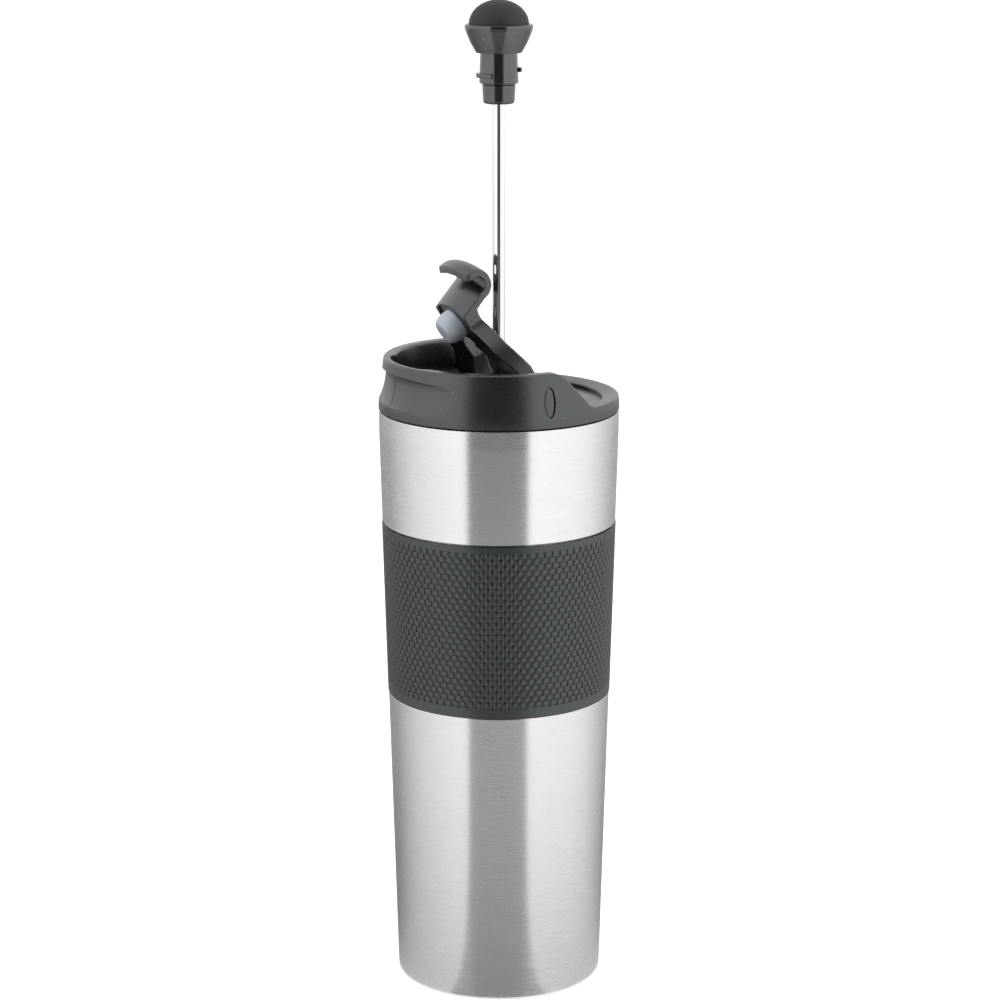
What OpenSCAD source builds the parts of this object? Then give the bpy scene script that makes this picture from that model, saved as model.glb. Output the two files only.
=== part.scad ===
// Insulated french press: a double-walled steel cup with a rubber grip band, a screw lid with a
// flip lever and stopper, and a plunger whose knob locks into the lid.
// The origin is the middle of the foot on the table, +Z is up and the drinking side faces -Y.
// The part stands as it is used while brewing: plunger raised, lever open, lid screwed down.

/* [Cup] */
// Height of the steel cup from the table to the seam under the lid
cup_h = 186.8; // [180:0.1:200]
// Diameter of the shell at the seam
top_d = 76; // [75.6:0.1:80]
// How much narrower the shell is at the table
taper = 10.2; // [8:0.1:11]
// Height of the straight band of the shell under the seam
straight_h = 5.8; // [3:0.1:10]
// Sheet thickness of the outer shell
shell_t = 0.6; // [0.5:0.05:0.9]
// Radius of the curl at the shell's lower edge
curl_r = 1; // [0.9:0.05:1.2]
// Height of the shell's lower edge above the table
shell_lift = 0.5; // [0.3:0.05:0.9]

/* [Liner] */
// Sheet thickness of the inner liner
liner_t = 0.6; // [0.5:0.05:0.9]
// Distance from the shell at the table in to the liner's bore, in which the filter slides
bore_inset = 3.5; // [3.2:0.1:3.9]
// Distance from the shell at the seam in to the liner's wide mouth, into which the lid screws
mouth_inset = 5; // [4.8:0.1:5.2]
// Height of the liner's floor above the table
liner_floor = 9.6; // [8.5:0.1:14]
// Radius between the liner's floor and its wall
liner_corner_r = 6; // [3:0.5:10]
// Depth of the wide mouth below the seam
mouth_depth = 19; // [18:0.5:24]
// Height of the taper between the bore and the mouth
flare_h = 10; // [6:0.5:16]

/* [Base] */
// Thickness of the welded base plate
plate_t = 0.6; // [0.5:0.05:1]
// Height of the plate's upturned edge
plate_edge_h = 4.4; // [2:0.1:6]
// Thickness of the rubber foot pad
foot_t = 1.7; // [1.5:0.05:2.2]
// Width of the dark ring gap round the foot pad
foot_gap = 0.4; // [0.3:0.05:0.8]
// Width of the grooves in the sole of the foot pad
sole_groove_w = 1.2; // [0.8:0.1:2]
// Depth of the grooves in the sole of the foot pad
sole_groove_depth = 0.5; // [0.2:0.1:0.8]

/* [Grip band] */
// Height of the band's lower edge above the table
grip_z = 94.6; // [80:0.1:110]
// Height of the band
grip_h = 56.2; // [30:0.1:60]
// Thickness of the rubber
grip_t = 1.4; // [1.1:0.1:1.8]
// How far the band stands proud of the steel
grip_proud = 0.2; // [0.1:0.05:0.5]
// Gap between the band's upper edge and the steel
grip_edge_gap = 0.4; // [0.2:0.05:0.8]
// Chamfer along the band's edges
grip_chamfer = 0.25; // [0.1:0.05:0.4]

/* [Lid collar] */
// How far the collar stands proud of the shell
collar_proud = 0.1; // [0.05:0.05:0.4]
// Height of the collar's straight foot
collar_foot_h = 2.1; // [1:0.1:3]
// Height of the drinking rim above the collar's lower edge
rim_h = 16.7; // [15.5:0.1:18]
// How far the drinking rim lies inside the collar's foot
rim_inset = 1.6; // [1.2:0.1:1.8]
// Thickness of the drinking rim
rim_t = 4; // [3.9:0.1:4.1]
// Rounding of the rim's edges
rim_round = 0.8; // [0.4:0.1:1.2]
// Height of the low rear rim above the collar's lower edge
rear_h = 4.4; // [4:0.1:5.5]
// How far the low rear rim slopes down towards the inside
rear_slope = 0.9; // [0.3:0.1:1.2]
// Distance behind the lid's axis at which the swoop would meet the rim's height
swoop_y = 4.4; // [3:0.1:8]
// Radius where the rim turns into the swoop
swoop_top_r = 8; // [4:0.5:9]
// Radius where the swoop runs out into the rear rim
swoop_foot_r = 6; // [3:0.5:9]
// Depth of the finger notch under the drinking lip
notch_depth = 1.7; // [1:0.1:1.8]
// Half the angle over which the finger notch fades out
notch_half_angle = 42; // [30:1:60]
// Thickness of the lip above the finger notch
lip_t = 3.4; // [3:0.1:4]
// Height of the finger notch
notch_h = 9.6; // [8:0.1:10]
// Thickness of the rim where the closed lever nests in it
nest_wall = 2.3; // [2.2:0.1:2.6]

/* [Lid body] */
// Height of the deck above the collar's lower edge
deck_h = 2.3; // [2.1:0.1:2.6]
// Radial overlap of the deck's flange under the drinking rim
flange_overlap = 3.1; // [3:0.1:3.4]
// Outer length of the screw plug below the collar
plug_h = 14; // [10:0.5:16]
// Wall thickness of the screw plug
plug_t = 1.6; // [1.2:0.1:2.2]
// Radial play between the screw plug and the cup's mouth
plug_play = 0.4; // [0.3:0.05:0.6]
// Radius of the drinking hole
drink_r = 4.9; // [4.8:0.1:5.4]
// Distance from the rim's inner wall in to the middle of the drinking hole
drink_inset = 8.1; // [7.8:0.1:8.5]
// Chamfer at the mouth of the drinking hole
drink_chamfer = 0.6; // [0.4:0.1:1]
// Radius of the air hole
vent_r = 0.9; // [0.6:0.1:1.5]
// Distance of the air hole behind the lid's axis
vent_y = 20; // [16:0.5:24]
// Outer radius of the knob's socket
socket_r = 9; // [8.9:0.1:10]
// Height of the socket's mouth above the deck
socket_h = 3.8; // [3:0.1:4.2]

/* [Seals] */
// Radial width of the lid's sealing ring
lid_seal_w = 1.7; // [1.4:0.1:1.9]
// Thickness of the lid's sealing ring
lid_seal_t = 1.35; // [1.1:0.05:1.5]
// Play of a sealing ring in its groove
seal_play = 0.1; // [0.05:0.01:0.15]
// Radial width of the rod's sealing ring
rod_seal_w = 2; // [1.6:0.1:2.4]
// Thickness of the rod's sealing ring
rod_seal_t = 2.6; // [2:0.1:3.2]
// Wall thickness of the cap that holds the rod's seal
seal_cap_t = 1.2; // [1:0.1:1.6]
// Height of that cap's skirt
seal_cap_h = 6; // [4:0.5:7]

/* [Flip lever] */
// Opening angle of the lever as it stands
lever_angle = 57.5; // [30:0.5:58]
// Distance of the lever's pivot behind the lid's axis
pivot_y = 0.5; // [0:0.1:1]
// Height of the lever's pivot above the collar's lower edge
pivot_h = 7.9; // [7.6:0.1:8.2]
// Width of the lever's plate and hook
lever_w = 22.5; // [21:0.5:24]
// Thickness of the hook
hook_t = 2.1; // [1.8:0.1:2.2]
// Height of the hook's inside above the rim
hook_lift = 1; // [0.6:0.1:1.4]
// Gap between the rim and the inside of the hook's tip
tip_gap = 1.9; // [1.8:0.1:2.6]
// Outer radius where the plate bends into the hook
hook_back_r = 4.6; // [4.2:0.1:4.6]
// Outer radius where the hook bends down to its tip
hook_front_r = 4; // [3.6:0.1:4.1]
// How far the tip reaches down below the rim's top
tip_drop = 4.2; // [4:0.1:5]
// Corner radius of the hook's tip
tip_corner_r = 2; // [1:0.5:3]
// How much higher the tip's end is outside than inside
tip_bevel = 1.2; // [0.6:0.1:1.6]
// Width of the bead inside the hook
bead_w = 0.8; // [0.6:0.1:1]
// Height of the bead inside the hook
bead_h = 0.6; // [0.4:0.05:0.65]
// Gap between the closed plate and its nest in the rim
nest_gap = 0.5; // [0.4:0.05:0.6]
// How far the plate's foot lies inside the plate's top
plate_lean = 2.7; // [2.4:0.1:3]
// Height of the elbow's back above the deck
elbow_top = 8.3; // [8:0.1:8.6]
// Height of the elbow's underside above the deck
elbow_lift = 3.4; // [3.2:0.1:3.6]
// Height of the bevel at the elbow's front edge
elbow_bevel = 0.4; // [0.3:0.1:0.8]
// Distance from the stopper's middle back to the edge of the bridge between the arms
bridge_back = 6.9; // [6.4:0.1:7.2]
// Depth of the arch that bares the stopper at the elbow's front edge
arch_depth = 0.6; // [0.4:0.1:0.8]
// Gap between the pressed knob and the closed lever's arms
knob_clear = 2; // [1.6:0.1:3]
// How much higher the arms' crest lies than the elbow
arm_rise = 1.6; // [1:0.1:2]
// Radius of the eye at the end of an arm
eye_r = 3.2; // [3:0.1:3.4]
// Gap between an arm and the collar's inner wall
arm_gap = 5.5; // [4:0.1:6]

/* [Pivot pins] */
// Radius of a pivot pin
pin_r = 1.5; // [1.2:0.05:1.6]
// Depth to which a pin reaches into the arm
pin_reach = 5; // [4:0.1:6]
// Gap between a pin's end and the bottom of its hole
pin_end_gap = 0.3; // [0.25:0.05:0.4]
// Radial running play of the pin in the lever's eye
pin_play = 0.08; // [0.04:0.01:0.1]
// Width of a pin's oval head
pin_head_w = 3.8; // [3.6:0.1:4.4]
// Height of a pin's oval head
pin_head_h = 9.5; // [8:0.1:9.6]
// Depth to which a pin's head sinks into the collar
pin_head_t = 2.4; // [1.8:0.1:2.6]
// Gap round a pin's head
pin_head_gap = 0.2; // [0.1:0.05:0.3]

/* [Stopper] */
// Radius of the stopper
stopper_r = 5.1; // [4.8:0.05:5.1]
// Length of the stopper's round wall
stopper_wall_h = 1; // [0.8:0.1:1.2]
// Height of the stopper's domed end
stopper_dome_h = 4.4; // [4:0.1:4.6]
// Radius of the stopper's neck
stopper_neck_r = 1.6; // [1.2:0.1:1.8]
// Radius of the stopper's retaining head
stopper_head_r = 2.2; // [2:0.1:2.3]
// Thickness of the elbow where it holds the stopper
stopper_shelf_t = 1; // [0.8:0.1:1.1]
// Thickness of the stopper's retaining head
stopper_head_t = 0.8; // [0.6:0.1:1]

/* [Knob] */
// Height by which the knob stands above its locked place
plunger_raise = 105; // [60:0.5:110]
// Greatest radius of the knob's cup
knob_r = 10.66; // [10:0.01:10.7]
// Height of the cup's widest line above its underside
knob_cup_h = 7.8; // [7:0.1:9]
// Thickness of the cup's rounded edge
knob_edge_t = 0.9; // [0.6:0.1:1.2]
// Radius of the soft dome
dome_r = 9.3; // [8.8:0.1:9.3]
// Height of the soft dome above the cup's edge
dome_h = 7.5; // [6:0.1:9]
// Depth to which the dome sinks into the cup
dome_seat = 2.4; // [1.5:0.1:3]
// Radius of the knob's neck
neck_r = 6.1; // [6:0.05:6.2]
// How much slimmer the neck is under the cup
neck_taper = 0.34; // [0:0.02:0.4]
// Length of the neck
neck_h = 9.4; // [9:0.1:11]
// Radius of the ferrule under the neck
ferrule_r = 5.2; // [5:0.05:5.3]
// Length of the ferrule
ferrule_h = 6.3; // [5:0.1:6.5]
// Draft of the ferrule from top to bottom
ferrule_taper = 0.3; // [0.1:0.05:0.5]
// Rounding of the ferrule's lower edge
ferrule_round = 1; // [0.5:0.1:1.2]

/* [Bayonet lock] */
// How far a lug stands out of the neck
lug_h = 1.05; // [0.8:0.05:1.1]
// Thickness of a lug
lug_t = 1.4; // [1.2:0.1:1.6]
// Angle that a lug covers
lug_angle = 76; // [50:1:80]
// Depth of the lower lug's middle below the knob's cup
low_lug_depth = 6.9; // [6.4:0.1:7.2]
// How much higher the upper lug sits
lug_step = 1.6; // [1:0.1:1.8]
// Direction of the lower lug, counted from the drinking side
lug_turn = 8; // [-20:1:30]
// Angle through which the knob turns to lock
lock_angle = 40; // [30:1:45]
// Play of a lug in its slot
lug_play = 0.3; // [0.25:0.01:0.35]

/* [Plunger rod] */
// Radius of the rod
rod_r = 2; // [1.8:0.05:2.2]
// Radial play of the rod in the lid
rod_play = 0.1; // [0.06:0.01:0.1]
// Height of the pressed filter above the liner's floor
press_gap = 14; // [10:0.5:25]
// Depth to which the rod sits in the knob
rod_seat = 11; // [9.5:0.1:14]

/* [Filter] */
// Radial gap between the filter's spring and the liner
filter_gap = 0.3; // [0.25:0.05:0.4]
// Radius of the spring's coil round the mesh
spring_r = 1.1; // [0.8:0.05:1.2]
// Thickness of the steel discs
disc_t = 0.8; // [0.6:0.05:1]
// Thickness of the wire mesh
mesh_t = 0.4; // [0.3:0.05:0.5]
// Depth of the mesh's turned-up edge
mesh_edge_h = 2.2; // [1.6:0.1:2.6]
// Radius of the holes in the base disc
disc_hole_r = 1.6; // [1.2:0.1:1.8]
// Spacing of the rings of holes in the base disc
disc_hole_pitch = 4.2; // [4:0.1:5]
// Radius of the ports in the top disc
port_r = 3.2; // [2.6:0.1:3.4]
// Number of ports in the top disc
port_count = 8; // [6:1:9]
// Radius of the hub nut
nut_r = 5; // [4.5:0.1:5.5]
// Height of the hub nut
nut_h = 4; // [3:0.1:5]
// Height of the collar on the top disc
hub_h = 4.5; // [3:0.1:6]
// Radius of the collar on the top disc
hub_r = 4.4; // [4:0.1:5]

/* [Fits] */
// Gap at the seam between the cup and the lid
seam_gap = 0.3; // [0.25:0.01:0.4]
// Play between two pieces that are pressed or glued together
join_play = 0.02; // [0.01:0.005:0.04]
// Gap between the knob and its socket's mouth when pressed
seat_gap = 0.3; // [0.25:0.01:0.4]
// Radial play of the knob's neck and ferrule in the socket
socket_play = 0.22; // [0.2:0.01:0.3]

/* [Hidden] */
$fn = 96;

// One overrun serves all cuts, and one step serves all arcs.
cut = 1;
arc_step = 7.5;
hole_sides = 24;
wire_sides = 32;

steel = "silver";
bright_steel = "gainsboro";
black_plastic = "dimgray";
gloss_black = "black";
black_rubber = "darkslategray";
pale_silicone = "lightsteelblue";

// Cup
top_r = top_d / 2;
base_r = top_r - taper / 2;
cone_top = cup_h - straight_h;
bore_r = base_r - bore_inset;
mouth_r = top_r - mouth_inset;
mouth_z = cup_h - mouth_depth;
flare_z = mouth_z - flare_h;
grip_top = grip_z + grip_h;
grip_recess = grip_t - grip_proud;
flange_r = top_r - shell_t - join_play;

// Lid heights and radii
lid_z = cup_h + seam_gap;
collar_r = top_r + collar_proud;
rim_z = lid_z + rim_h;
rim_r = collar_r - rim_inset;
rim_in_r = rim_r - rim_t;
rear_z = lid_z + rear_h;
deck_z = lid_z + deck_h;
deck_r = rim_in_r + flange_overlap;
plug_r = mouth_r - plug_play;
drink_y = rim_in_r - drink_inset;
socket_z = deck_z + socket_h;
lid_seal_out = deck_r - seal_play;
lid_seal_in = lid_seal_out - lid_seal_w;

// Swoop between the high and the low rim: a slope of 45 degrees with a fillet at each end
swoop_angle = 45;
swoop_tangent = tan(swoop_angle / 2);
swoop_foot_y = swoop_y + (rim_z - rear_z) / tan(swoop_angle);

// Finger notch: a ring cutter set back from the lid's axis, so that it fades out to both sides
notch_top = rim_z - lip_t;
notch_floor = notch_top - notch_h;
notch_wall_r = rim_r + rim_inset * lip_t / rim_h;
notch_set_back = notch_depth * (notch_wall_r - notch_depth / 2)
    / (notch_wall_r * (1 - cos(notch_half_angle)) - notch_depth);
notch_cut_r = notch_wall_r + notch_set_back - notch_depth;

// Outline of the finger notch, as shares of its depth and of its height
notch_shares = [[1, 0], [0.6, 0.2], [0.28, 0.42], [0.12, 0.6], [0, 0.8], [0.25, 0.92], [1, 1]];

// Flip lever in its closed place
pivot_z = lid_z + pivot_h;
lever_x = lever_w / 2;
bridge_r = drink_y - bridge_back;
nest_r = rim_r - nest_wall;
plate_front_r = nest_r - nest_gap;
plate_back_r = plate_front_r - hook_t;
tip_in_r = rim_r + tip_gap;
tip_out_r = tip_in_r + hook_t;
crown_z = rim_z + hook_lift + hook_t;
crown_back = [plate_back_r + hook_back_r, crown_z - hook_back_r];
crown_front = [tip_out_r - hook_front_r, crown_z - hook_front_r];
tip_z = rim_z - tip_drop;
elbow_z = deck_z + elbow_lift;
elbow_back_z = deck_z + elbow_top;
arm_out_x = rim_in_r - arm_gap;
arm_in_r = knob_r + knob_clear;
pin_head_x = collar_side(pivot_z) - pin_head_t;
stopper_head_z = elbow_z + arch_depth + stopper_shelf_t;
pin_end_x = arm_out_x - pin_reach;

// Knob, measured from the underside of its cup
knob_z = socket_z + seat_gap + plunger_raise;
neck_z = knob_z - neck_h;
ferrule_z = neck_z - ferrule_h;
dome_z = knob_z + knob_cup_h + knob_edge_t;
rod_top = neck_z + rod_seat;

// Knob, where it sits when it is pressed down
pressed_z = socket_z + seat_gap;
socket_step = pressed_z - neck_h - socket_play;
socket_floor = pressed_z - neck_h - ferrule_h - socket_play;
seal_floor = socket_floor - seal_cap_t;
tube_end = seal_floor - rod_seal_t - seal_play;
cap_z = tube_end - seal_cap_t;
slot_r = neck_r + lug_h + lug_play;
lug_play_angle = lug_play / neck_r * 180 / PI;
knob_path_r = knob_r + seat_gap;

// Filter, from its base disc up
filter_z = liner_floor + press_gap + plunger_raise;
mesh_z = filter_z + disc_t;
top_disc_z = mesh_z + mesh_t;
spring_out_r = bore_r - filter_gap;
spring_ring_r = spring_out_r - spring_r;
mesh_r = spring_ring_r - spring_r - join_play;
disc_r = mesh_r - mesh_t - join_play;

hub_top_z = top_disc_z + disc_t + hub_h;

echo(lid_z = lid_z, pivot_z = pivot_z, press_stroke = plunger_raise);
echo(raise_stroke = cap_z - seat_gap - hub_top_z);

// Radius of the shell's cone at a height
function cone_r(z) = base_r + (top_r - base_r) * min(z / cone_top, 1);

// Radius of the collar's outside at a height
function collar_side(z) = collar_r - rim_inset * max(0, z - lid_z - collar_foot_h)
    / (rim_h - collar_foot_h - rim_round);

// Points of an arc from angle a to angle b about a middle
function arc(middle, r, a, b) = let (n = max(2, ceil(abs(b - a) / arc_step)))
    [for (i = [0 : n]) middle + r * [cos(a + (b - a) * i / n), sin(a + (b - a) * i / n)]];

// Ring between two radii
module ring(outer_r, inner_r, h) {
    difference() {
        cylinder(h = h, r = outer_r);
        translate([0, 0, -cut])
            cylinder(h = h + 2 * cut, r = inner_r);
    }
}

// Part of a ring, its middle at an angle from the drinking side
module ring_sector(outer_r, inner_r, h, middle, width) {
    rotate([0, 0, middle - width / 2 - 90])
        rotate_extrude(angle = width)
            translate([inner_r, 0])
                square([outer_r - inner_r, h]);
}

// Solid outline of the cup, drawn in by t on every side
module cup_outline(t) {
    polygon([[0, shell_lift], [cone_r(shell_lift) - t, shell_lift],
        [cone_r(grip_z - t) - t, grip_z - t],
        [cone_r(grip_z) - grip_recess - t, grip_z - t],
        [cone_r(grip_top) - grip_recess - t, grip_top + t],
        [cone_r(grip_top + t) - t, grip_top + t],
        [top_r - t, cone_top], [top_r - t, cup_h], [0, cup_h]]);
}

module outer_shell() {
    curl_z = shell_lift + curl_r;
    curl_mid = [cone_r(curl_z) - curl_r, curl_z];
    color(steel)
        union() {
            difference() {
                rotate_extrude()
                    cup_outline(0);
                rotate_extrude()
                    cup_outline(shell_t);
                translate([0, 0, shell_lift - cut])
                    cylinder(h = curl_r + cut, r = top_r);
                translate([0, 0, cup_h - cut])
                    cylinder(h = 2 * cut, r = top_r - shell_t);
            }
            rotate_extrude()
                polygon(concat(arc(curl_mid, curl_r, 0, -90), arc(curl_mid, curl_r - shell_t, -90, 0)));
        }
}

module inner_liner() {
    corner = [bore_r - liner_corner_r, liner_floor + liner_corner_r];
    color(bright_steel)
        rotate_extrude()
            polygon(concat([[0, liner_floor - liner_t]],
                arc(corner, liner_corner_r + liner_t, -90, 0),
                [[bore_r + liner_t, flare_z], [mouth_r + liner_t, mouth_z],
                [mouth_r + liner_t, cup_h - liner_t], [flange_r, cup_h - liner_t], [flange_r, cup_h],
                [mouth_r, cup_h], [mouth_r, mouth_z], [bore_r, flare_z]],
                arc(corner, liner_corner_r, 0, -90), [[0, liner_floor]]));
}

module base_plate() {
    edge_z = foot_t + plate_edge_h;
    side = shell_t + join_play;
    color(steel)
        rotate_extrude()
            polygon([[0, foot_t], [cone_r(foot_t) - side, foot_t], [cone_r(edge_z) - side, edge_z],
                [cone_r(edge_z) - side - plate_t, edge_z],
                [cone_r(foot_t + plate_t) - side - plate_t, foot_t + plate_t], [0, foot_t + plate_t]]);
}

module foot_pad() {
    pad_r = base_r - curl_r - foot_gap;
    groove_shares = [0.3, 0.6, 0.85];
    color(black_rubber)
        difference() {
            cylinder(h = foot_t, r = pad_r);
            for (share = groove_shares)
                translate([0, 0, -cut])
                    ring(pad_r * share + sole_groove_w, pad_r * share, cut + sole_groove_depth);
        }
}

module grip_band() {
    low = grip_z + join_play;
    high = grip_top - grip_edge_gap;
    deep = grip_recess - join_play;
    color(black_rubber)
        rotate_extrude()
            polygon([[cone_r(low) - deep, low],
                [cone_r(low) + grip_proud - grip_chamfer, low],
                [cone_r(low) + grip_proud, low + grip_chamfer],
                [cone_r(high) + grip_proud, high - grip_chamfer],
                [cone_r(high) + grip_proud - grip_chamfer, high],
                [cone_r(high) - deep, high]]);
}

// Full-height ring of the collar, before the swoop and the notches are cut
module collar_ring() {
    round_z = rim_z - rim_round;
    rotate_extrude()
        polygon(concat([[rim_in_r, deck_z], [deck_r + join_play, deck_z], [deck_r + join_play, lid_z],
            [collar_r, lid_z], [collar_r, lid_z + collar_foot_h]],
            arc([rim_r - rim_round, round_z], rim_round, 0, 90),
            arc([rim_in_r + rim_round, round_z], rim_round, 90, 180)));
}

// Everything above the swoop, seen from the side
module swoop_cut() {
    far_y = collar_r + cut;
    top_mid = [swoop_y - swoop_top_r * swoop_tangent, rim_z - swoop_top_r];
    foot_mid = [swoop_foot_y + swoop_foot_r * swoop_tangent, rear_z + swoop_foot_r];
    translate([-far_y, 0, 0])
        rotate([90, 0, 90])
            linear_extrude(height = 2 * far_y)
                polygon(concat([[top_mid[0], rim_z + cut]],
                    arc(top_mid, swoop_top_r, 90, 90 - swoop_angle),
                    arc(foot_mid, swoop_foot_r, 270 - swoop_angle, 270),
                    [[far_y, rear_z], [far_y, rim_z + cut]]));
}

// The low rear rim falls towards the inside as a shallow cone
module rear_slope_cut() {
    edge_r = collar_r - rim_round;
    intersection() {
        rotate_extrude()
            polygon([[rim_in_r - cut, rear_z - rear_slope], [rim_in_r, rear_z - rear_slope],
                [edge_r, rear_z], [edge_r, rear_z + cut], [rim_in_r - cut, rear_z + cut]]);
        translate([-collar_r, swoop_foot_y, rear_z - rear_h])
            cube([2 * collar_r, collar_r, rear_h + cut]);
    }
}

// Smooth hollow under the drinking lip
module finger_notch() {
    far_r = notch_cut_r + notch_depth + collar_r;
    translate([0, notch_set_back, 0])
        rotate_extrude()
            polygon(concat(
                [for (p = notch_shares) [notch_cut_r + p[0] * notch_depth, notch_floor + p[1] * notch_h]],
                [[far_r, notch_top], [far_r, notch_floor]]));
}

// Pocket inside the rim that takes the plate of the closed lever
module lever_nest() {
    nest_x = lever_x + nest_gap;
    edge_mid = [nest_r + rim_round, rim_z - rim_round];
    intersection() {
        rotate_extrude()
            polygon(concat([[0, deck_z], [nest_r, deck_z]], arc(edge_mid, rim_round, 180, 90),
                [[edge_mid[0], rim_z + cut], [0, rim_z + cut]]));
        translate([-nest_x, -collar_r, deck_z])
            cube([2 * nest_x, collar_r, rim_h + cut]);
    }
}

// Slot with round ends, standing along Z, extruded along +X from the origin
module oval_bar(w, h, l) {
    rise = (h - w) / 2;
    rotate([90, 0, 90])
        linear_extrude(height = l)
            union() {
                translate([-w / 2, -rise])
                    square([w, 2 * rise]);
                for (side = [-1, 1])
                    translate([0, side * rise])
                        circle(d = w);
            }
}

module pin_seats() {
    for (side = [0, 1])
        mirror([side, 0, 0])
            translate([0, pivot_y, pivot_z]) {
                rotate([0, 90, 0])
                    cylinder(h = collar_r + cut, r = pin_r + join_play);
                translate([pin_head_x - join_play, 0, 0])
                    oval_bar(pin_head_w + 2 * pin_head_gap, pin_head_h + 2 * pin_head_gap, collar_r);
            }
}

module lid_collar() {
    color(black_plastic)
        difference() {
            collar_ring();
            swoop_cut();
            rear_slope_cut();
            finger_notch();
            lever_nest();
            pin_seats();
        }
}

module drink_hole() {
    translate([0, -drink_y, lid_z - cut])
        cylinder(h = deck_h + 2 * cut, r = drink_r);
    translate([0, -drink_y, deck_z - drink_chamfer])
        cylinder(h = drink_chamfer + join_play, r1 = drink_r, r2 = drink_r + drink_chamfer);
}

// Stepped hole of the knob's socket, with an L-shaped slot for each lug
module socket_hole() {
    neck_hole_r = neck_r + socket_play;
    ferrule_hole_r = ferrule_r + socket_play;
    translate([0, 0, socket_step])
        cylinder(h = socket_z - socket_step + cut, r = neck_hole_r);
    translate([0, 0, socket_floor])
        cylinder(h = socket_step - socket_floor + cut, r = ferrule_hole_r);
    translate([0, 0, tube_end - cut])
        cylinder(h = socket_floor - tube_end + 2 * cut, r = rod_r + rod_play);
    translate([0, 0, tube_end - cut])
        cylinder(h = seal_floor - tube_end + cut, r = rod_r + rod_play + rod_seal_w + seal_play);
    for (lug = [0, 1]) {
        low = pressed_z - low_lug_depth + lug * lug_step - lug_t / 2 - lug_play;
        turn = lug_turn + 180 * lug;
        slot_angle = lug_angle + 2 * lug_play_angle;
        translate([0, 0, low]) {
            ring_sector(slot_r, neck_r, socket_z - low + cut, turn, slot_angle);
            ring_sector(slot_r, neck_r, lug_t + 2 * lug_play, turn - lock_angle / 2, slot_angle + lock_angle);
        }
    }
}

module lid_deck() {
    color(black_plastic)
        difference() {
            union() {
                translate([0, 0, lid_z])
                    cylinder(h = deck_h, r = deck_r);
                translate([0, 0, lid_z - plug_h])
                    ring(plug_r, plug_r - plug_t, plug_h + deck_h / 2);
                translate([0, 0, tube_end])
                    cylinder(h = socket_z - tube_end, r = socket_r);
            }
            drink_hole();
            translate([0, vent_y, lid_z - cut])
                cylinder(h = deck_h + 2 * cut, r = vent_r);
            translate([0, 0, lid_z - cut])
                ring(deck_r + cut, lid_seal_in - seal_play, lid_seal_t + cut);
            socket_hole();
        }
}

module lid_seal() {
    color(pale_silicone)
        translate([0, 0, lid_z - seal_play])
            ring(lid_seal_out, lid_seal_in, lid_seal_t);
}

module rod_seal() {
    color(pale_silicone)
        translate([0, 0, tube_end + seal_play / 2])
            ring(rod_r + rod_play + rod_seal_w, rod_r + rod_play, rod_seal_t);
}

module seal_cap() {
    cap_r = socket_r + join_play;
    color(gloss_black)
        translate([0, 0, cap_z])
            difference() {
                cylinder(h = seal_cap_h, r = cap_r + seal_cap_t);
                translate([0, 0, seal_cap_t])
                    cylinder(h = seal_cap_h, r = cap_r);
                translate([0, 0, -cut])
                    cylinder(h = seal_cap_t + 2 * cut, r = rod_r + 2 * rod_play);
            }
}

// Pin with an oval head that is cut flush with the collar
module hinge_pin() {
    intersection() {
        union() {
            translate([pin_end_x, pivot_y, pivot_z])
                rotate([0, 90, 0])
                    cylinder(h = pin_head_x + pin_head_t / 2 - pin_end_x, r = pin_r);
            translate([pin_head_x, pivot_y, pivot_z])
                oval_bar(pin_head_w, pin_head_h, collar_r);
        }
        rotate_extrude()
            polygon([[0, lid_z], [collar_r, lid_z], [collar_r, lid_z + collar_foot_h],
                [rim_r, rim_z - rim_round], [0, rim_z - rim_round]]);
    }
}

module hinge_pin_right() {
    color(black_plastic)
        hinge_pin();
}

module hinge_pin_left() {
    color(black_plastic)
        mirror([1, 0, 0])
            hinge_pin();
}

// Section of the hook, plate and bridge, as radius and height
module lever_section() {
    foot_r = plate_front_r - plate_lean;
    polygon(concat(
        arc(crown_back, hook_back_r, 180, 90),
        arc(crown_front, hook_front_r, 90, 0),
        [[tip_out_r, tip_z + tip_bevel], [tip_in_r, tip_z]],
        arc(crown_front, hook_front_r - hook_t, 0, 90),
        arc(crown_back, hook_back_r - hook_t, 90, 180),
        [[foot_r, elbow_z + elbow_bevel], [foot_r - elbow_bevel, elbow_z], [bridge_r, elbow_z],
        [bridge_r, elbow_back_z], [foot_r - hook_t - elbow_bevel, elbow_back_z],
        [plate_back_r - plate_lean / 2, elbow_back_z + elbow_bevel]]));
}

// Blank that trims the section to the lever's width and rounds the tip's corners
module lever_trim() {
    split_y = rim_r - rim_round;
    high = crown_z + cut;
    low = tip_z;
    translate([-lever_x, -split_y, lid_z])
        cube([lever_w, split_y, high - lid_z]);
    translate([0, -split_y + join_play, 0])
        rotate([90, 0, 0])
            linear_extrude(height = split_y)
                union() {
                    translate([-lever_x, low + tip_corner_r])
                        square([lever_w, high - low - tip_corner_r]);
                    translate([-lever_x + tip_corner_r, low])
                        square([lever_w - 2 * tip_corner_r, high - low]);
                    for (side = [-1, 1])
                        translate([side * (lever_x - tip_corner_r), low + tip_corner_r])
                            circle(r = tip_corner_r);
                }
}

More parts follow.
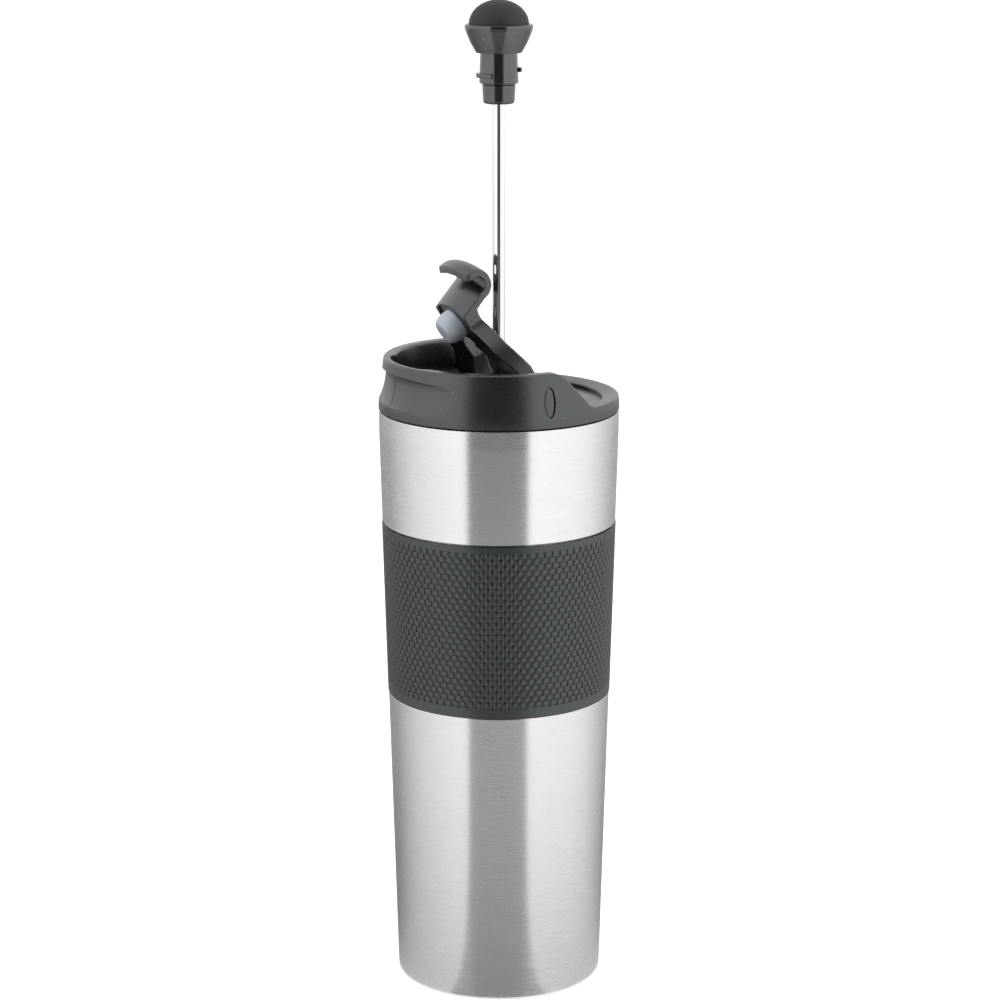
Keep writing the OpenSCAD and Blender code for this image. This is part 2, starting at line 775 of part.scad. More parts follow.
// One arm from the elbow round to its eye, with its outline in plan and in side view
module lever_arm() {
    crest_share = 0.3;
    crest_y = -arm_out_x * crest_share;
    eye_y = pivot_y + eye_r;
    intersection() {
        translate([0, 0, pivot_z - elbow_top])
            linear_extrude(height = 2 * elbow_top)
                difference() {
                    union() {
                        circle(r = arm_out_x);
                        square([arm_out_x, eye_y]);
                    }
                    circle(r = arm_in_r);
                    translate([-arm_out_x, -arm_out_x])
                        square([arm_out_x, 2 * arm_out_x]);
                    square([arm_in_r, arm_out_x]);
                    translate([0, eye_y])
                        square(arm_out_x);
                }
        union() {
            rotate([90, 0, 90])
                linear_extrude(height = arm_out_x + cut)
                    polygon([[-arm_out_x, elbow_z], [-bridge_r, elbow_z], [crest_y, elbow_z + arm_rise],
                        [pivot_y, pivot_z - eye_r], [pivot_y, pivot_z + eye_r],
                        [crest_y, elbow_back_z + arm_rise], [-bridge_r, elbow_back_z],
                        [-arm_out_x, elbow_back_z]]);
            translate([0, pivot_y, pivot_z])
                rotate([0, 90, 0])
                    cylinder(h = arm_out_x + cut, r = eye_r);
        }
    }
}

module closed_lever() {
    sweep_angle = 110;
    difference() {
        union() {
            intersection() {
                rotate([0, 0, -90 - sweep_angle / 2])
                    rotate_extrude(angle = sweep_angle)
                        union() {
                            lever_section();
                            translate([nest_r, crown_z - hook_t - bead_h])
                                square([bead_w, bead_h + hook_t / 2]);
                        }
                lever_trim();
            }
            for (side = [0, 1])
                mirror([side, 0, 0])
                    lever_arm();
        }
        for (side = [0, 1])
            mirror([side, 0, 0])
                translate([pin_end_x - pin_end_gap, pivot_y, pivot_z])
                    rotate([0, 90, 0])
                        cylinder(h = pin_reach + pin_end_gap + cut, r = pin_r + pin_play);
        translate([0, -drink_y, elbow_z - cut])
            cylinder(h = elbow_back_z - elbow_z + 2 * cut, r = stopper_neck_r + join_play);
        translate([0, -drink_y, elbow_z - cut])
            cylinder(h = cut + arch_depth, r = plate_front_r - drink_y);
        translate([0, -drink_y, stopper_head_z])
            cylinder(h = elbow_top, r = stopper_head_r + join_play);
    }
}

// Turns the closed lever about its pins to where it stands
module open_lever() {
    translate([0, pivot_y, pivot_z])
        rotate([-lever_angle, 0, 0])
            translate([0, -pivot_y, -pivot_z])
                children();
}

module flip_lever() {
    color(black_plastic)
        difference() {
            open_lever()
                closed_lever();
            translate([0, 0, lid_z])
                cylinder(h = plunger_raise, r = knob_path_r);
        }
}

module stopper() {
    seat_z = elbow_z + arch_depth - join_play;
    wall_z = seat_z - arch_depth - stopper_wall_h;
    fullness_share = 0.3;
    steps = 8;
    color(pale_silicone)
        open_lever()
            translate([0, -drink_y, 0])
                rotate_extrude()
                    polygon(concat([[0, stopper_head_z + stopper_head_t],
                        [stopper_head_r, stopper_head_z + stopper_head_t],
                        [stopper_head_r, stopper_head_z + join_play],
                        [stopper_neck_r, stopper_head_z + join_play],
                        [stopper_neck_r, seat_z], [stopper_r, seat_z]],
                        [for (i = [0 : steps]) [stopper_r * pow(cos(i * 90 / steps), fullness_share),
                            wall_z - stopper_dome_h * sin(i * 90 / steps)]]));
}

// Height and radius of the cup's flank, as shares of its height and of its greatest radius
cup_flank_shares = [[0.54, 0], [0.675, 0], [0.69, 0.055], [0.741, 0.173], [0.838, 0.41], [0.911, 0.641],
    [0.977, 0.878], [1, 1]];

module knob_body() {
    edge_r = knob_r - knob_edge_t / 2;
    color(gloss_black)
        difference() {
            union() {
                translate([0, 0, knob_z])
                    rotate_extrude()
                        polygon(concat([[0, 0]],
                            [for (p = cup_flank_shares) [p[0] * knob_r, p[1] * knob_cup_h]],
                            [[edge_r, knob_cup_h + knob_edge_t], [0, knob_cup_h + knob_edge_t]]));
                translate([0, 0, neck_z])
                    cylinder(h = neck_h + cut, r1 = neck_r, r2 = neck_r - neck_taper);
                for (lug = [0, 1])
                    translate([0, 0, knob_z - low_lug_depth + lug * lug_step - lug_t / 2])
                        ring_sector(neck_r + lug_h, neck_r / 2, lug_t, lug_turn + 180 * lug, lug_angle);
            }
            translate([0, 0, dome_z - dome_seat])
                cylinder(h = dome_seat + cut, r = dome_r + join_play);
            translate([0, 0, neck_z - cut])
                cylinder(h = rod_seat + cut + join_play, r = rod_r + join_play);
        }
}

module knob_dome() {
    steps = 12;
    color(gloss_black)
        rotate_extrude()
            polygon(concat([[0, dome_z - dome_seat], [dome_r, dome_z - dome_seat]],
                [for (i = [0 : steps])
                    [dome_r * cos(i * 90 / steps), dome_z + dome_h * sin(i * 90 / steps)]]));
}

module knob_ferrule() {
    low_r = ferrule_r - ferrule_taper;
    color(gloss_black)
        rotate_extrude()
            polygon(concat([[rod_r + join_play, neck_z], [rod_r + join_play, ferrule_z]],
                arc([low_r - ferrule_round, ferrule_z + ferrule_round], ferrule_round, -90, 0),
                [[ferrule_r, neck_z]]));
}

module plunger_rod() {
    color(bright_steel)
        translate([0, 0, filter_z - nut_h / 2])
            cylinder(h = rod_top - filter_z + nut_h / 2, r = rod_r);
}

module filter_top_disc() {
    port_ring_r = (disc_r + hub_r) / 2;
    color(bright_steel)
        difference() {
            union() {
                translate([0, 0, top_disc_z])
                    cylinder(h = disc_t, r = disc_r);
                translate([0, 0, top_disc_z])
                    cylinder(h = disc_t + hub_h, r = hub_r);
            }
            translate([0, 0, top_disc_z - cut])
                cylinder(h = disc_t + hub_h + 2 * cut, r = rod_r + join_play);
            for (i = [0 : port_count - 1])
                rotate([0, 0, i * 360 / port_count])
                    translate([port_ring_r, 0, top_disc_z - cut])
                        cylinder(h = disc_t + 2 * cut, r = port_r);
        }
}

module filter_spring() {
    color(bright_steel)
        translate([0, 0, top_disc_z + spring_r])
            rotate_extrude()
                translate([spring_ring_r, 0])
                    circle(r = spring_r, $fn = wire_sides);
}

module filter_mesh() {
    color(bright_steel)
        rotate_extrude()
            polygon([[rod_r + join_play, mesh_z], [mesh_r + 2 * spring_r, mesh_z],
                [mesh_r + 2 * spring_r, mesh_z + mesh_t - join_play], [mesh_r, mesh_z + mesh_t - join_play],
                [mesh_r, mesh_z + mesh_edge_h], [mesh_r - mesh_t, mesh_z + mesh_edge_h],
                [mesh_r - mesh_t, mesh_z + mesh_t - join_play],
                [rod_r + join_play, mesh_z + mesh_t - join_play]]);
}

module filter_base_disc() {
    rings = floor((disc_r - nut_r - disc_hole_r) / disc_hole_pitch);
    color(bright_steel)
        translate([0, 0, filter_z])
            difference() {
                cylinder(h = disc_t - join_play, r = disc_r);
                translate([0, 0, -cut])
                    cylinder(h = disc_t + 2 * cut, r = rod_r + join_play);
                for (k = [1 : rings])
                    for (i = [1 : 6 * (k + 1)])
                        rotate([0, 0, (i + k / 2) * 60 / (k + 1)])
                            translate([nut_r + k * disc_hole_pitch, 0, -cut])
                                cylinder(h = disc_t + 2 * cut, r = disc_hole_r, $fn = hole_sides);
            }
}

module hub_nut() {
    color(bright_steel)
        translate([0, 0, filter_z - nut_h])
            difference() {
                cylinder(h = nut_h - join_play, r = nut_r, $fn = 6);
                translate([0, 0, nut_h / 2 - join_play])
                    cylinder(h = nut_h, r = rod_r + join_play);
            }
}

outer_shell();
inner_liner();
base_plate();
foot_pad();
grip_band();
lid_collar();
lid_deck();
lid_seal();
rod_seal();
seal_cap();
hinge_pin_right();
hinge_pin_left();
flip_lever();
stopper();
knob_dome();
knob_body();
knob_ferrule();
plunger_rod();
filter_top_disc();
filter_spring();
filter_mesh();
filter_base_disc();
hub_nut();
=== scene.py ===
"""Insulated french press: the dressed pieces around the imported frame, with studio and camera."""

import math
from functools import partialmethod
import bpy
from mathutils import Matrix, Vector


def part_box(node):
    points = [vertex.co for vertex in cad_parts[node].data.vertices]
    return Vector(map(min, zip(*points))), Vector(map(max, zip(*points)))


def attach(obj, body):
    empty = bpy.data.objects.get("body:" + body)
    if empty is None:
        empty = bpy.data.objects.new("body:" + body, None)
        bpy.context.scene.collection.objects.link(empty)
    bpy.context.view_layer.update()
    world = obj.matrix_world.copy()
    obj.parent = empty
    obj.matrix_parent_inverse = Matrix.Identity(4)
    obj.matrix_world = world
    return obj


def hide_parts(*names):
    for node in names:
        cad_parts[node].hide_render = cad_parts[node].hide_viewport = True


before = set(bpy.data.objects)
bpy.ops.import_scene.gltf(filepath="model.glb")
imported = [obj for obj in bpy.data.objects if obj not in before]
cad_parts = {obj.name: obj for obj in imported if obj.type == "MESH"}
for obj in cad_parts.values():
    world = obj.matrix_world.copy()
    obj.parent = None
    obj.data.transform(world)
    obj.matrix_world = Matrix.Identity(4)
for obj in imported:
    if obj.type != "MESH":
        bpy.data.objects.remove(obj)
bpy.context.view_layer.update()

from types import SimpleNamespace

import bmesh
import bpy
import numpy as np
from bpy.props import FloatProperty, FloatVectorProperty, IntProperty, PointerProperty
from mathutils import Vector

bl_info = {
    "name": "Insulated French Press",
    "version": (1, 0, 0),
    "blender": (4, 5, 0),
    "location": "3D View > Sidebar > French Press",
    "description": "Builds an insulated french press with its lid, flip lever, plunger and studio",
    "category": "Add Mesh",
}

MM = 0.001
ROUND, FINE_ROUND = 192, 256     # sides of a turned piece, and of a large one
SHARP = math.radians(40)         # edges sharper than this stay sharp in the shading
EDGE_LINE = 0.12                 # width of the plain strip beside a rounded edge
JOIN_GAP = 0.02                  # gap between pressed or glued pieces
WHITE = (1, 1, 1, 1)

# Light dust specks on plastic and rubber
DUST = (0.6, 0.6, 0.58, 1)
SPECK_SCALE, SPECK_SIZE, SPECK_SHARE = 400.0, 0.05, 0.35

# The photograph's azimuth, and the brightness round about by degrees to the right of the camera
PHOTO_AZIMUTH = 66
FULL_LIGHT = 1.25
ROUND_LIGHT = [(-180, 0.3), (-150, 0.32), (-128, 0.38), (-112, 0.57), (-88, 0.85), (-67, 1.0), (-41, 1.14),
               (0, 1.16), (39, 1.22), (75, 1.15), (96, 1.02), (123, 0.66), (143, 0.43), (180, 0.3)]


def low(node, axis):
    """Lowest coordinate of a node along an axis, in millimetres."""
    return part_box(node)[0][axis] / MM


def high(node, axis):
    """Highest coordinate of a node along an axis, in millimetres."""
    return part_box(node)[1][axis] / MM


def length(name, default, description):
    """A length property, given in millimetres and kept in metres."""
    return FloatProperty(name=name, description=description, default=default * MM, unit="LENGTH",
                         subtype="DISTANCE", precision=5)


def count(name, default, description):
    return IntProperty(name=name, description=description, default=default, min=3)


def number(name, default, description, **more):
    return FloatProperty(name=name, description=description, default=default, **more)


def colour(name, default, description):
    return FloatVectorProperty(name=name, description=description, default=default, size=3,
                               subtype="COLOR", min=0, max=1)


# Sizes and colours

class CupSizes(bpy.types.PropertyGroup):
    foot: length("Foot diameter", 65.8, "Diameter of the shell at the table")
    seam: length("Seam diameter", 76, "Diameter of the shell under the lid")
    height: length("Cup height", high("outer_shell", 2), "Height of the steel cup")
    straight: length("Straight band", 5.8, "Height of the straight band under the lid")
    seam_edge: length("Seam edge", 0.22, "How far the finished upper edge lies below the cup's height")
    sheet: length("Sheet", 0.6, "Thickness of the steel sheet")
    lift: length("Edge lift", low("outer_shell", 2), "Height of the shell's lower edge above the table")
    bore: length("Bore", 58.8, "Bore of the liner")
    mouth: length("Mouth", 66, "Bore of the liner's wide mouth")
    floor: length("Floor height", 9.6, "Height of the liner's floor above the table")
    corner: length("Floor corner", 6, "Radius between the liner's floor and wall")
    mouth_depth: length("Mouth depth", 19, "Depth of the wide mouth below the seam")
    flare: length("Flare", 10, "Height of the taper below the mouth")


class GripSizes(bpy.types.PropertyGroup):
    z: length("Lower edge", 94.6, "Height of the band's lower edge")
    height: length("Height", 56.2, "Height of the recess that holds the band")
    gap: length("Upper gap", 0.6, "Gap between the band and the steel above it")
    proud: length("Proud", 0.2, "How far the band stands proud of the steel")
    recess: length("Recess", 1.2, "Depth of the recess in the shell")
    field: length("Relief depth", 0.4, "Depth of the ground between the tiles")
    low_margin: length("Lower margin", 3.3, "Height of the plain lower margin")
    high_margin: length("Upper margin", 2.1, "Height of the plain upper margin")
    columns: count("Columns", 86, "Tiles round the band")
    rows: count("Rows", 27, "Rows of tiles")
    groove: length("Groove", 0.42, "Width of the upright groove between two tiles")
    crown: length("Crown", 0.2, "How far a tile's middle stands above its ends")


class CollarSizes(bpy.types.PropertyGroup):
    radius: length("Radius", 38.1, "Radius of the collar's foot")
    foot: length("Foot", 2.1, "Height of the collar's straight foot")
    inset: length("Inset", 1.6, "How far the rim lies inside the foot")
    rim: length("Rim thickness", 4, "Thickness of the drinking rim")
    rounding: length("Rounding", 0.8, "Rounding of the rim's edges")
    rear: length("Rear height", 4.4, "Height of the low rear rim")
    slope: length("Rear slope", 0.9, "Fall of the rear rim towards the inside")
    swoop: length("Swoop", 4.4, "Where the swoop would meet the rim's height, behind the axis")
    swoop_top: length("Swoop top", 8, "Radius at the top of the swoop")
    swoop_foot: length("Swoop foot", 6, "Radius at the foot of the swoop")
    notch: length("Notch depth", 1.7, "Depth of the finger notch")
    notch_height: length("Notch height", 9.6, "Height of the finger notch")
    lip: length("Lip", 3.4, "Thickness of the lip above the notch")
    nest: length("Nest wall", 2.3, "Thickness of the rim where the lever nests")
    nest_width: length("Nest width", 23.5, "Width of the lever's nest")
    pin_y: length("Pin place", 0.5, "Distance of the pins behind the axis")
    pin_z: length("Pin height", 195, "Height of the pins above the table")
    head_width: length("Head width", 3.8, "Width of a pin's oval head")
    head_height: length("Head height", 9.5, "Height of a pin's oval head")
    head_gap: length("Head gap", 0.5, "Width of the gap behind a pin's head")


class LidSizes(bpy.types.PropertyGroup):
    deck: length("Deck", 2.3, "Thickness of the deck above the collar's lower edge")
    deck_radius: length("Deck radius", 35.6, "Radius of the deck's flange")
    plug: length("Plug radius", 32.6, "Outer radius of the screw plug")
    thread: length("Thread", 0.32, "Depth of the screw thread")
    pitch: length("Pitch", 3.2, "Pitch of the screw thread")


class KnobSizes(bpy.types.PropertyGroup):
    z: length("Cup underside", 298.5, "Height of the underside of the knob's cup")
    radius: length("Cup radius", 10.66, "Greatest radius of the knob's cup")
    cup: length("Cup height", 7.8, "Height of the cup's widest line above its underside")
    edge: length("Cup edge", 0.9, "Thickness of the cup's rounded edge")
    dome: length("Dome radius", 9.3, "Radius of the soft dome")
    dome_height: length("Dome height", 7.5, "Height of the soft dome above the cup")
    neck: length("Neck radius", 6.1, "Radius of the neck")
    neck_height: length("Neck height", 9.4, "Length of the neck")
    ferrule: length("Ferrule radius", 5.2, "Radius of the ferrule")
    ferrule_height: length("Ferrule height", 6.3, "Length of the ferrule")
    lug: length("Lug", 1.05, "How far a lug stands out of the neck")
    lug_thickness: length("Lug thickness", 1.4, "Thickness of a lug")
    rod: length("Rod radius", 2, "Radius of the plunger rod")


class FilterSizes(bpy.types.PropertyGroup):
    z: length("Height", low("filter_base_disc", 2), "Height of the base disc's underside")
    disc: length("Disc", 0.8, "Thickness of the steel discs")
    mesh: length("Mesh", 0.4, "Thickness of the wire mesh")
    radius: length("Radius", 29.1, "Outer radius of the spring")
    coil: length("Coil radius", 1.1, "Outer radius of the spring's coil")
    wire: length("Spring wire", 0.22, "Radius of the spring's wire")
    curls: count("Curls", 132, "Curls of the spring")
    strand: length("Mesh wire", 0.09, "Radius of a wire of the mesh")
    strands: count("Wires", 120, "Wires of the mesh each way")


class Finishes(bpy.types.PropertyGroup):
    shell: colour("Shell", (0.735, 0.735, 0.73), "Brushed steel of the cup")
    liner: colour("Liner", (0.62, 0.62, 0.63), "Satin steel inside the cup")
    polished: colour("Polished steel", (0.83, 0.83, 0.84), "Rod and filter")
    charcoal: colour("Charcoal", (0.0042, 0.0052, 0.0051), "Plastic of the lid and lever")
    gloss: colour("Gloss black", (0.0040, 0.0046, 0.0054), "Plastic of the knob")
    soft: colour("Soft black", (0.0155, 0.0160, 0.0158), "Soft dome of the knob")
    grip: colour("Grip rubber", (0.0090, 0.0112, 0.0114), "Rubber of the grip band")
    foot: colour("Foot rubber", (0.022, 0.022, 0.023), "Rubber of the foot pad")
    silicone: colour("Silicone", (0.47, 0.51, 0.57), "Stopper and seals")


class StudioSettings(bpy.types.PropertyGroup):
    lens: length("Lens", 108.745, "Focal length on a 36 mm sensor")
    soft_box: number("Soft boxes", 3.6, "Power of each side lamp", unit="POWER")
    top_light: number("Top light", 2.2, "Power of the lamp above", unit="POWER")
    ambient: number("Ambient", 0.55, "Strength of the light from all round")
    wall_light: number("Wall", 1.25, "Brightness of the walls in reflections")
    strip_depth: number("Strip", 0.79, "How much the strip on the camera's side is dimmed", min=0, max=1)


# Mesh helpers, in millimetres

def sizes(name):
    """A group's lengths in millimetres, and its counts as they are."""
    group = getattr(bpy.context.scene, name)
    values = {key: getattr(group, key) for key in GROUPS[name].__annotations__}
    return SimpleNamespace(**{key: value / MM if isinstance(value, float) else value
                              for key, value in values.items()})


def placed(name, data):
    """New object in the scene."""
    obj = bpy.data.objects.new(name, data)
    bpy.context.scene.collection.objects.link(obj)
    return obj


def rounded(outline, closed, steps=4):
    """Outline of (x, y, corner radius) with an arc in place of each rounded corner."""
    points, n = [], len(outline)
    for i, (x, y, radius) in enumerate(outline):
        if radius == 0 or (not closed and i in (0, n - 1)):
            points.append((x, y))
            continue
        corner = Vector((x, y))
        back = Vector(outline[i - 1][:2]) - corner
        ahead = Vector(outline[(i + 1) % n][:2]) - corner
        half = back.angle(ahead) / 2
        reach = min(radius / math.tan(half), 0.48 * back.length, 0.48 * ahead.length)
        r = reach * math.tan(half)
        centre = corner + (back.normalized() + ahead.normalized()).normalized() * (r / math.sin(half))
        start = corner + back.normalized() * reach - centre
        end = corner + ahead.normalized() * reach - centre
        turn = math.atan2(start.x * end.y - start.y * end.x, start.dot(end))
        if back.length > 3 * reach:
            points.append(tuple(corner + back.normalized() * (reach + EDGE_LINE)))
        for k in range(steps + 1):
            c, s = math.cos(turn * k / steps), math.sin(turn * k / steps)
            points.append((centre.x + c * start.x - s * start.y, centre.y + s * start.x + c * start.y))
        if ahead.length > 3 * reach:
            points.append(tuple(corner + ahead.normalized() * (reach + EDGE_LINE)))
    return points


def settle(obj):
    """Merges doubles, turns faces outwards and shades smooth up to the sharp angle."""
    bm = bmesh.new()
    bm.from_mesh(obj.data)
    bmesh.ops.remove_doubles(bm, verts=bm.verts, dist=1e-7)
    bmesh.ops.recalc_face_normals(bm, faces=bm.faces)
    bm.to_mesh(obj.data)
    bm.free()
    obj.data.shade_smooth()
    obj.data.set_sharp_from_angle(angle=SHARP)
    return obj


def raw_mesh(name, verts, faces):
    """Mesh of corners in millimetres."""
    mesh = bpy.data.meshes.new(name)
    mesh.from_pydata([(x * MM, y * MM, z * MM) for x, y, z in verts], [], faces)
    return mesh


def shaped(name, part):
    """Object of a closed shape, given as its corners and faces."""
    return settle(placed(name, raw_mesh(name, *part)))


def loft(rings, loop=False):
    """Corners and faces that join rings of equal count; the ends are closed unless it loops."""
    n = len(rings[0])
    verts = [p for ring in rings for p in ring]
    faces = []
    for k in range(len(rings) if loop else len(rings) - 1):
        a, b = k * n, (k + 1) % len(rings) * n
        faces += [(a + i, a + (i + 1) % n, b + (i + 1) % n, b + i) for i in range(n)]
    if not loop:
        faces += [tuple(range(n))[::-1], tuple(range((len(rings) - 1) * n, len(rings) * n))]
    return verts, faces


def spun(points, sides):
    """Rings of corners that points of (radius, height) draw as they turn."""
    angles = [2 * math.pi * i / sides for i in range(sides)]
    return [[(r * math.cos(a), r * math.sin(a), z) for a in angles] for r, z in points]


def turned(outline, sides=ROUND, steps=4):
    """Corners and faces of a turned shape; an outline that starts and ends on the axis has poles there."""
    closed = outline[0][0] > 0
    return loft(spun(rounded(outline, closed, steps), sides), closed)


def lathe(name, outline, sides=ROUND, steps=4):
    """Turned piece from an outline of (radius, height, corner radius)."""
    return shaped(name, turned(outline, sides, steps))


def joined(*parts):
    """One corner list and face list from several."""
    verts, faces = [], []
    for part_verts, part_faces in parts:
        faces += [tuple(i + len(verts) for i in face) for face in part_faces]
        verts += list(part_verts)
    return verts, faces


def baked(obj):
    """The object with its modifiers applied and removed."""
    mesh = bpy.data.meshes.new_from_object(obj.evaluated_get(bpy.context.evaluated_depsgraph_get()))
    obj.modifiers.clear()
    obj.data = mesh
    mesh.name = obj.name
    return obj


def cut_away(obj, cutters):
    """Takes the cutters out of the object."""
    for cutter in cutters:
        modifier = obj.modifiers.new("cut", "BOOLEAN")
        modifier.operation = "DIFFERENCE"
        modifier.solver = "EXACT"
        modifier.object = cutter
    baked(obj)
    for cutter in cutters:
        bpy.data.objects.remove(cutter)
    return settle(obj)


def dressed(node, name, width):
    """Merged copy of a CAD node with its sharp edges softened to a width."""
    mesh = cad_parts[node].data.copy()
    obj = placed(name, mesh)
    bm = bmesh.new()
    bm.from_mesh(mesh)
    bmesh.ops.remove_doubles(bm, verts=bm.verts, dist=2e-6)
    bmesh.ops.dissolve_limit(bm, angle_limit=math.radians(1), verts=bm.verts, edges=bm.edges)
    bm.to_mesh(mesh)
    bm.free()
    if width:
        bevel = obj.modifiers.new("edges", "BEVEL")
        bevel.width = width * MM
        bevel.segments = 2
        bevel.angle_limit = math.radians(35)
        baked(obj)
    obj.data.shade_smooth()
    obj.data.set_sharp_from_angle(angle=SHARP)
    return obj


def moulded(node, name, voxel):
    """Copy of a CAD node with the soft edges of a moulding, by a remesh of a voxel's size that is smoothed."""
    obj = dressed(node, name, 0)
    remesh = obj.modifiers.new("skin", "REMESH")
    remesh.mode = "VOXEL"
    remesh.voxel_size = voxel * MM
    remesh.use_smooth_shade = True
    smooth = obj.modifiers.new("soften", "SMOOTH")
    smooth.factor = 0.5
    smooth.iterations = 4
    baked(obj)
    obj.data.shade_smooth()
    return obj


def on(obj, body, slot, *nodes):
    """Gives a finished piece the finish of its slot and its body, and hides the nodes that it stands for."""
    obj.data.materials.clear()
    obj.data.materials.append(finish(slot))
    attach(obj, body)
    if nodes:
        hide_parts(*nodes)


# Node helpers

class Term:
    """One output of a node, which can be reckoned with like a number."""

    def __init__(self, socket):
        self.socket, self.node, self.tree = socket, socket.node, socket.id_data

    def out(self, key):
        """Another output of the same node."""
        return Term(self.node.outputs[key])

    def calc(self, operation, *values):
        return add(self.tree, "ShaderNodeMath", dict(enumerate((self, *values))), operation=operation)

    def ranged(self, low_value, high_value, start=0.3, end=0.7):
        """The stretch from start to end of this term, carried over to that between two values."""
        return add(self.tree, "ShaderNodeMapRange", {"Value": self, "From Min": start, "From Max": end,
                                                     "To Min": low_value, "To Max": high_value})

    __add__ = partialmethod(calc, "ADD")
    __sub__ = partialmethod(calc, "SUBTRACT")
    __mul__ = partialmethod(calc, "MULTIPLY")
    __truediv__ = partialmethod(calc, "DIVIDE")

    def __rsub__(self, number):
        return add(self.tree, "ShaderNodeMath", {0: number, 1: self}, operation="SUBTRACT")


def feed(node, inputs):
    """Sets a node's inputs to values, or links them to terms."""
    for key, value in inputs.items():
        if isinstance(value, Term):
            node.id_data.links.new(value.socket, node.inputs[key])
        else:
            node.inputs[key].default_value = value


def add(tree, kind, inputs=None, **settings):
    """Adds a node and gives its first output, if it has any."""
    node = tree.nodes.new(kind)
    for key, value in settings.items():
        setattr(node, key, value)
    feed(node, inputs or {})
    return Term(node.outputs[0]) if node.outputs else None


def vector(tree, x, y, z):
    return add(tree, "ShaderNodeCombineXYZ", {0: x, 1: y, 2: z})


def stretched(tree, scale):
    """Object coordinates, stretched by a factor on each axis."""
    place = add(tree, "ShaderNodeTexCoord").out("Object")
    return add(tree, "ShaderNodeMapping", {"Vector": place, "Scale": scale})


def noise(tree, scale, detail=3, roughness=0.55):
    """Noise in object coordinates, of one scale or of one for each axis."""
    scale = scale if isinstance(scale, tuple) else (scale,) * 3
    return add(tree, "ShaderNodeTexNoise", {"Vector": stretched(tree, scale), "Scale": 1.0,
                                            "Detail": detail, "Roughness": roughness})


def tinted(tint, share):
    """The finish's colour, scaled by a share that varies over the surface."""
    return add(share.tree, "ShaderNodeVectorMath", {0: tint, "Scale": share}, operation="SCALE")


def bumped(height, distance):
    """Relief of a depth in millimetres."""
    return add(height.tree, "ShaderNodeBump", {"Height": height, "Distance": distance * MM})


def material(name, tint):
    """New material and its tree."""
    made = bpy.data.materials.new(name)
    made.use_nodes = True
    made.diffuse_color = (*tint, 1)
    return made, made.node_tree


def surfaced(made, inputs):
    """The material with the inputs of its surface set."""
    feed(made.node_tree.nodes["Principled BSDF"], inputs)
    return made


def brushed(name, tint, rough, aniso, grain):
    """Steel brushed round its axis: long fine streaks and faint cloudy wear."""
    made, tree = material(name, tint)
    lines = noise(tree, (500, 500, 14000), 2) * 0.5 + noise(tree, (230, 230, 4200), 4, 0.7)
    cloud = noise(tree, (90, 90, 160), 4, 0.7)
    patch = noise(tree, (60, 60, 500), 3, 0.7)
    share = lines.ranged(1 - 0.08 * grain, 1 + 0.04 * grain, 0.5, 1.0)
    return surfaced(made, {
        "Base Color": tinted(tint, share * (cloud.ranged(0.98, 1.015) * patch.ranged(0.985, 1.015))),
        "Roughness": lines.ranged(rough - 0.05 * grain, rough + 0.14 * grain, 0.7, 1.05)
        + cloud.ranged(-0.01, 0.015),
        "Normal": bumped(lines, 0.006 * grain), "Metallic": 1,
        "Anisotropic": aniso, "Anisotropic Rotation": 0.25,
        "Tangent": add(tree, "ShaderNodeTangent", direction_type="RADIAL", axis="Z")})


def polished(name, tint):
    """Polished steel with faint draw lines and finger-worn clouds."""
    made, tree = material(name, tint)
    lines = noise(tree, (2600, 2600, 30), 2)
    return surfaced(made, {
        "Base Color": tinted(tint, lines.ranged(0.96, 1.02)), "Metallic": 1,
        "Roughness": noise(tree, 120, 4).ranged(0.02, 0.05), "Normal": bumped(lines, 0.002)})


def plastic(name, tint, rough, pits, pit_scale, speck=0.0, ior=1.5):
    """Moulded plastic or rubber: cloudy tone, fine eroded pits and a few light dust specks."""
    made, tree = material(name, tint)
    cloud = noise(tree, 70, 4, 0.6)
    grain = noise(tree, pit_scale, 3, 0.6)
    base = tinted(tint, cloud.ranged(0.9, 1.12) * grain.ranged(0.92, 1.06))
    if speck:
        cells = add(tree, "ShaderNodeTexVoronoi", {"Vector": stretched(tree, (1, 1, 1)), "Scale": SPECK_SCALE})
        pick = add(tree, "ShaderNodeSeparateColor", {0: cells.out("Color")})
        near = cells.out("Distance").calc("LESS_THAN", SPECK_SIZE)
        base = add(tree, "ShaderNodeMix", {
            "Factor": near * pick.calc("LESS_THAN", SPECK_SHARE) * speck, "A": base, "B": DUST},
            data_type="RGBA").out("Result")
    return surfaced(made, {
        "Base Color": base, "Normal": bumped(grain, pits),
        "Roughness": cloud.ranged(rough - 0.03, rough + 0.05) + grain.ranged(-0.02, 0.03),
        "IOR": ior, "Specular Tint": (0.94, 1.0, 0.99, 1)})


def silicone(name, tint):
    """Milky silicone with light going a little way in."""
    made, tree = material(name, tint)
    cloud = noise(tree, 160)
    return surfaced(made, {
        "Base Color": tinted(tint, cloud.ranged(0.92, 1.06)), "Roughness": cloud.ranged(0.3, 0.42),
        "Normal": bumped(noise(tree, 2200, 2), 0.006), "Subsurface Weight": 0.35,
        "Subsurface Radius": (1.0, 1.1, 1.3), "Subsurface Scale": 1.5 * MM})


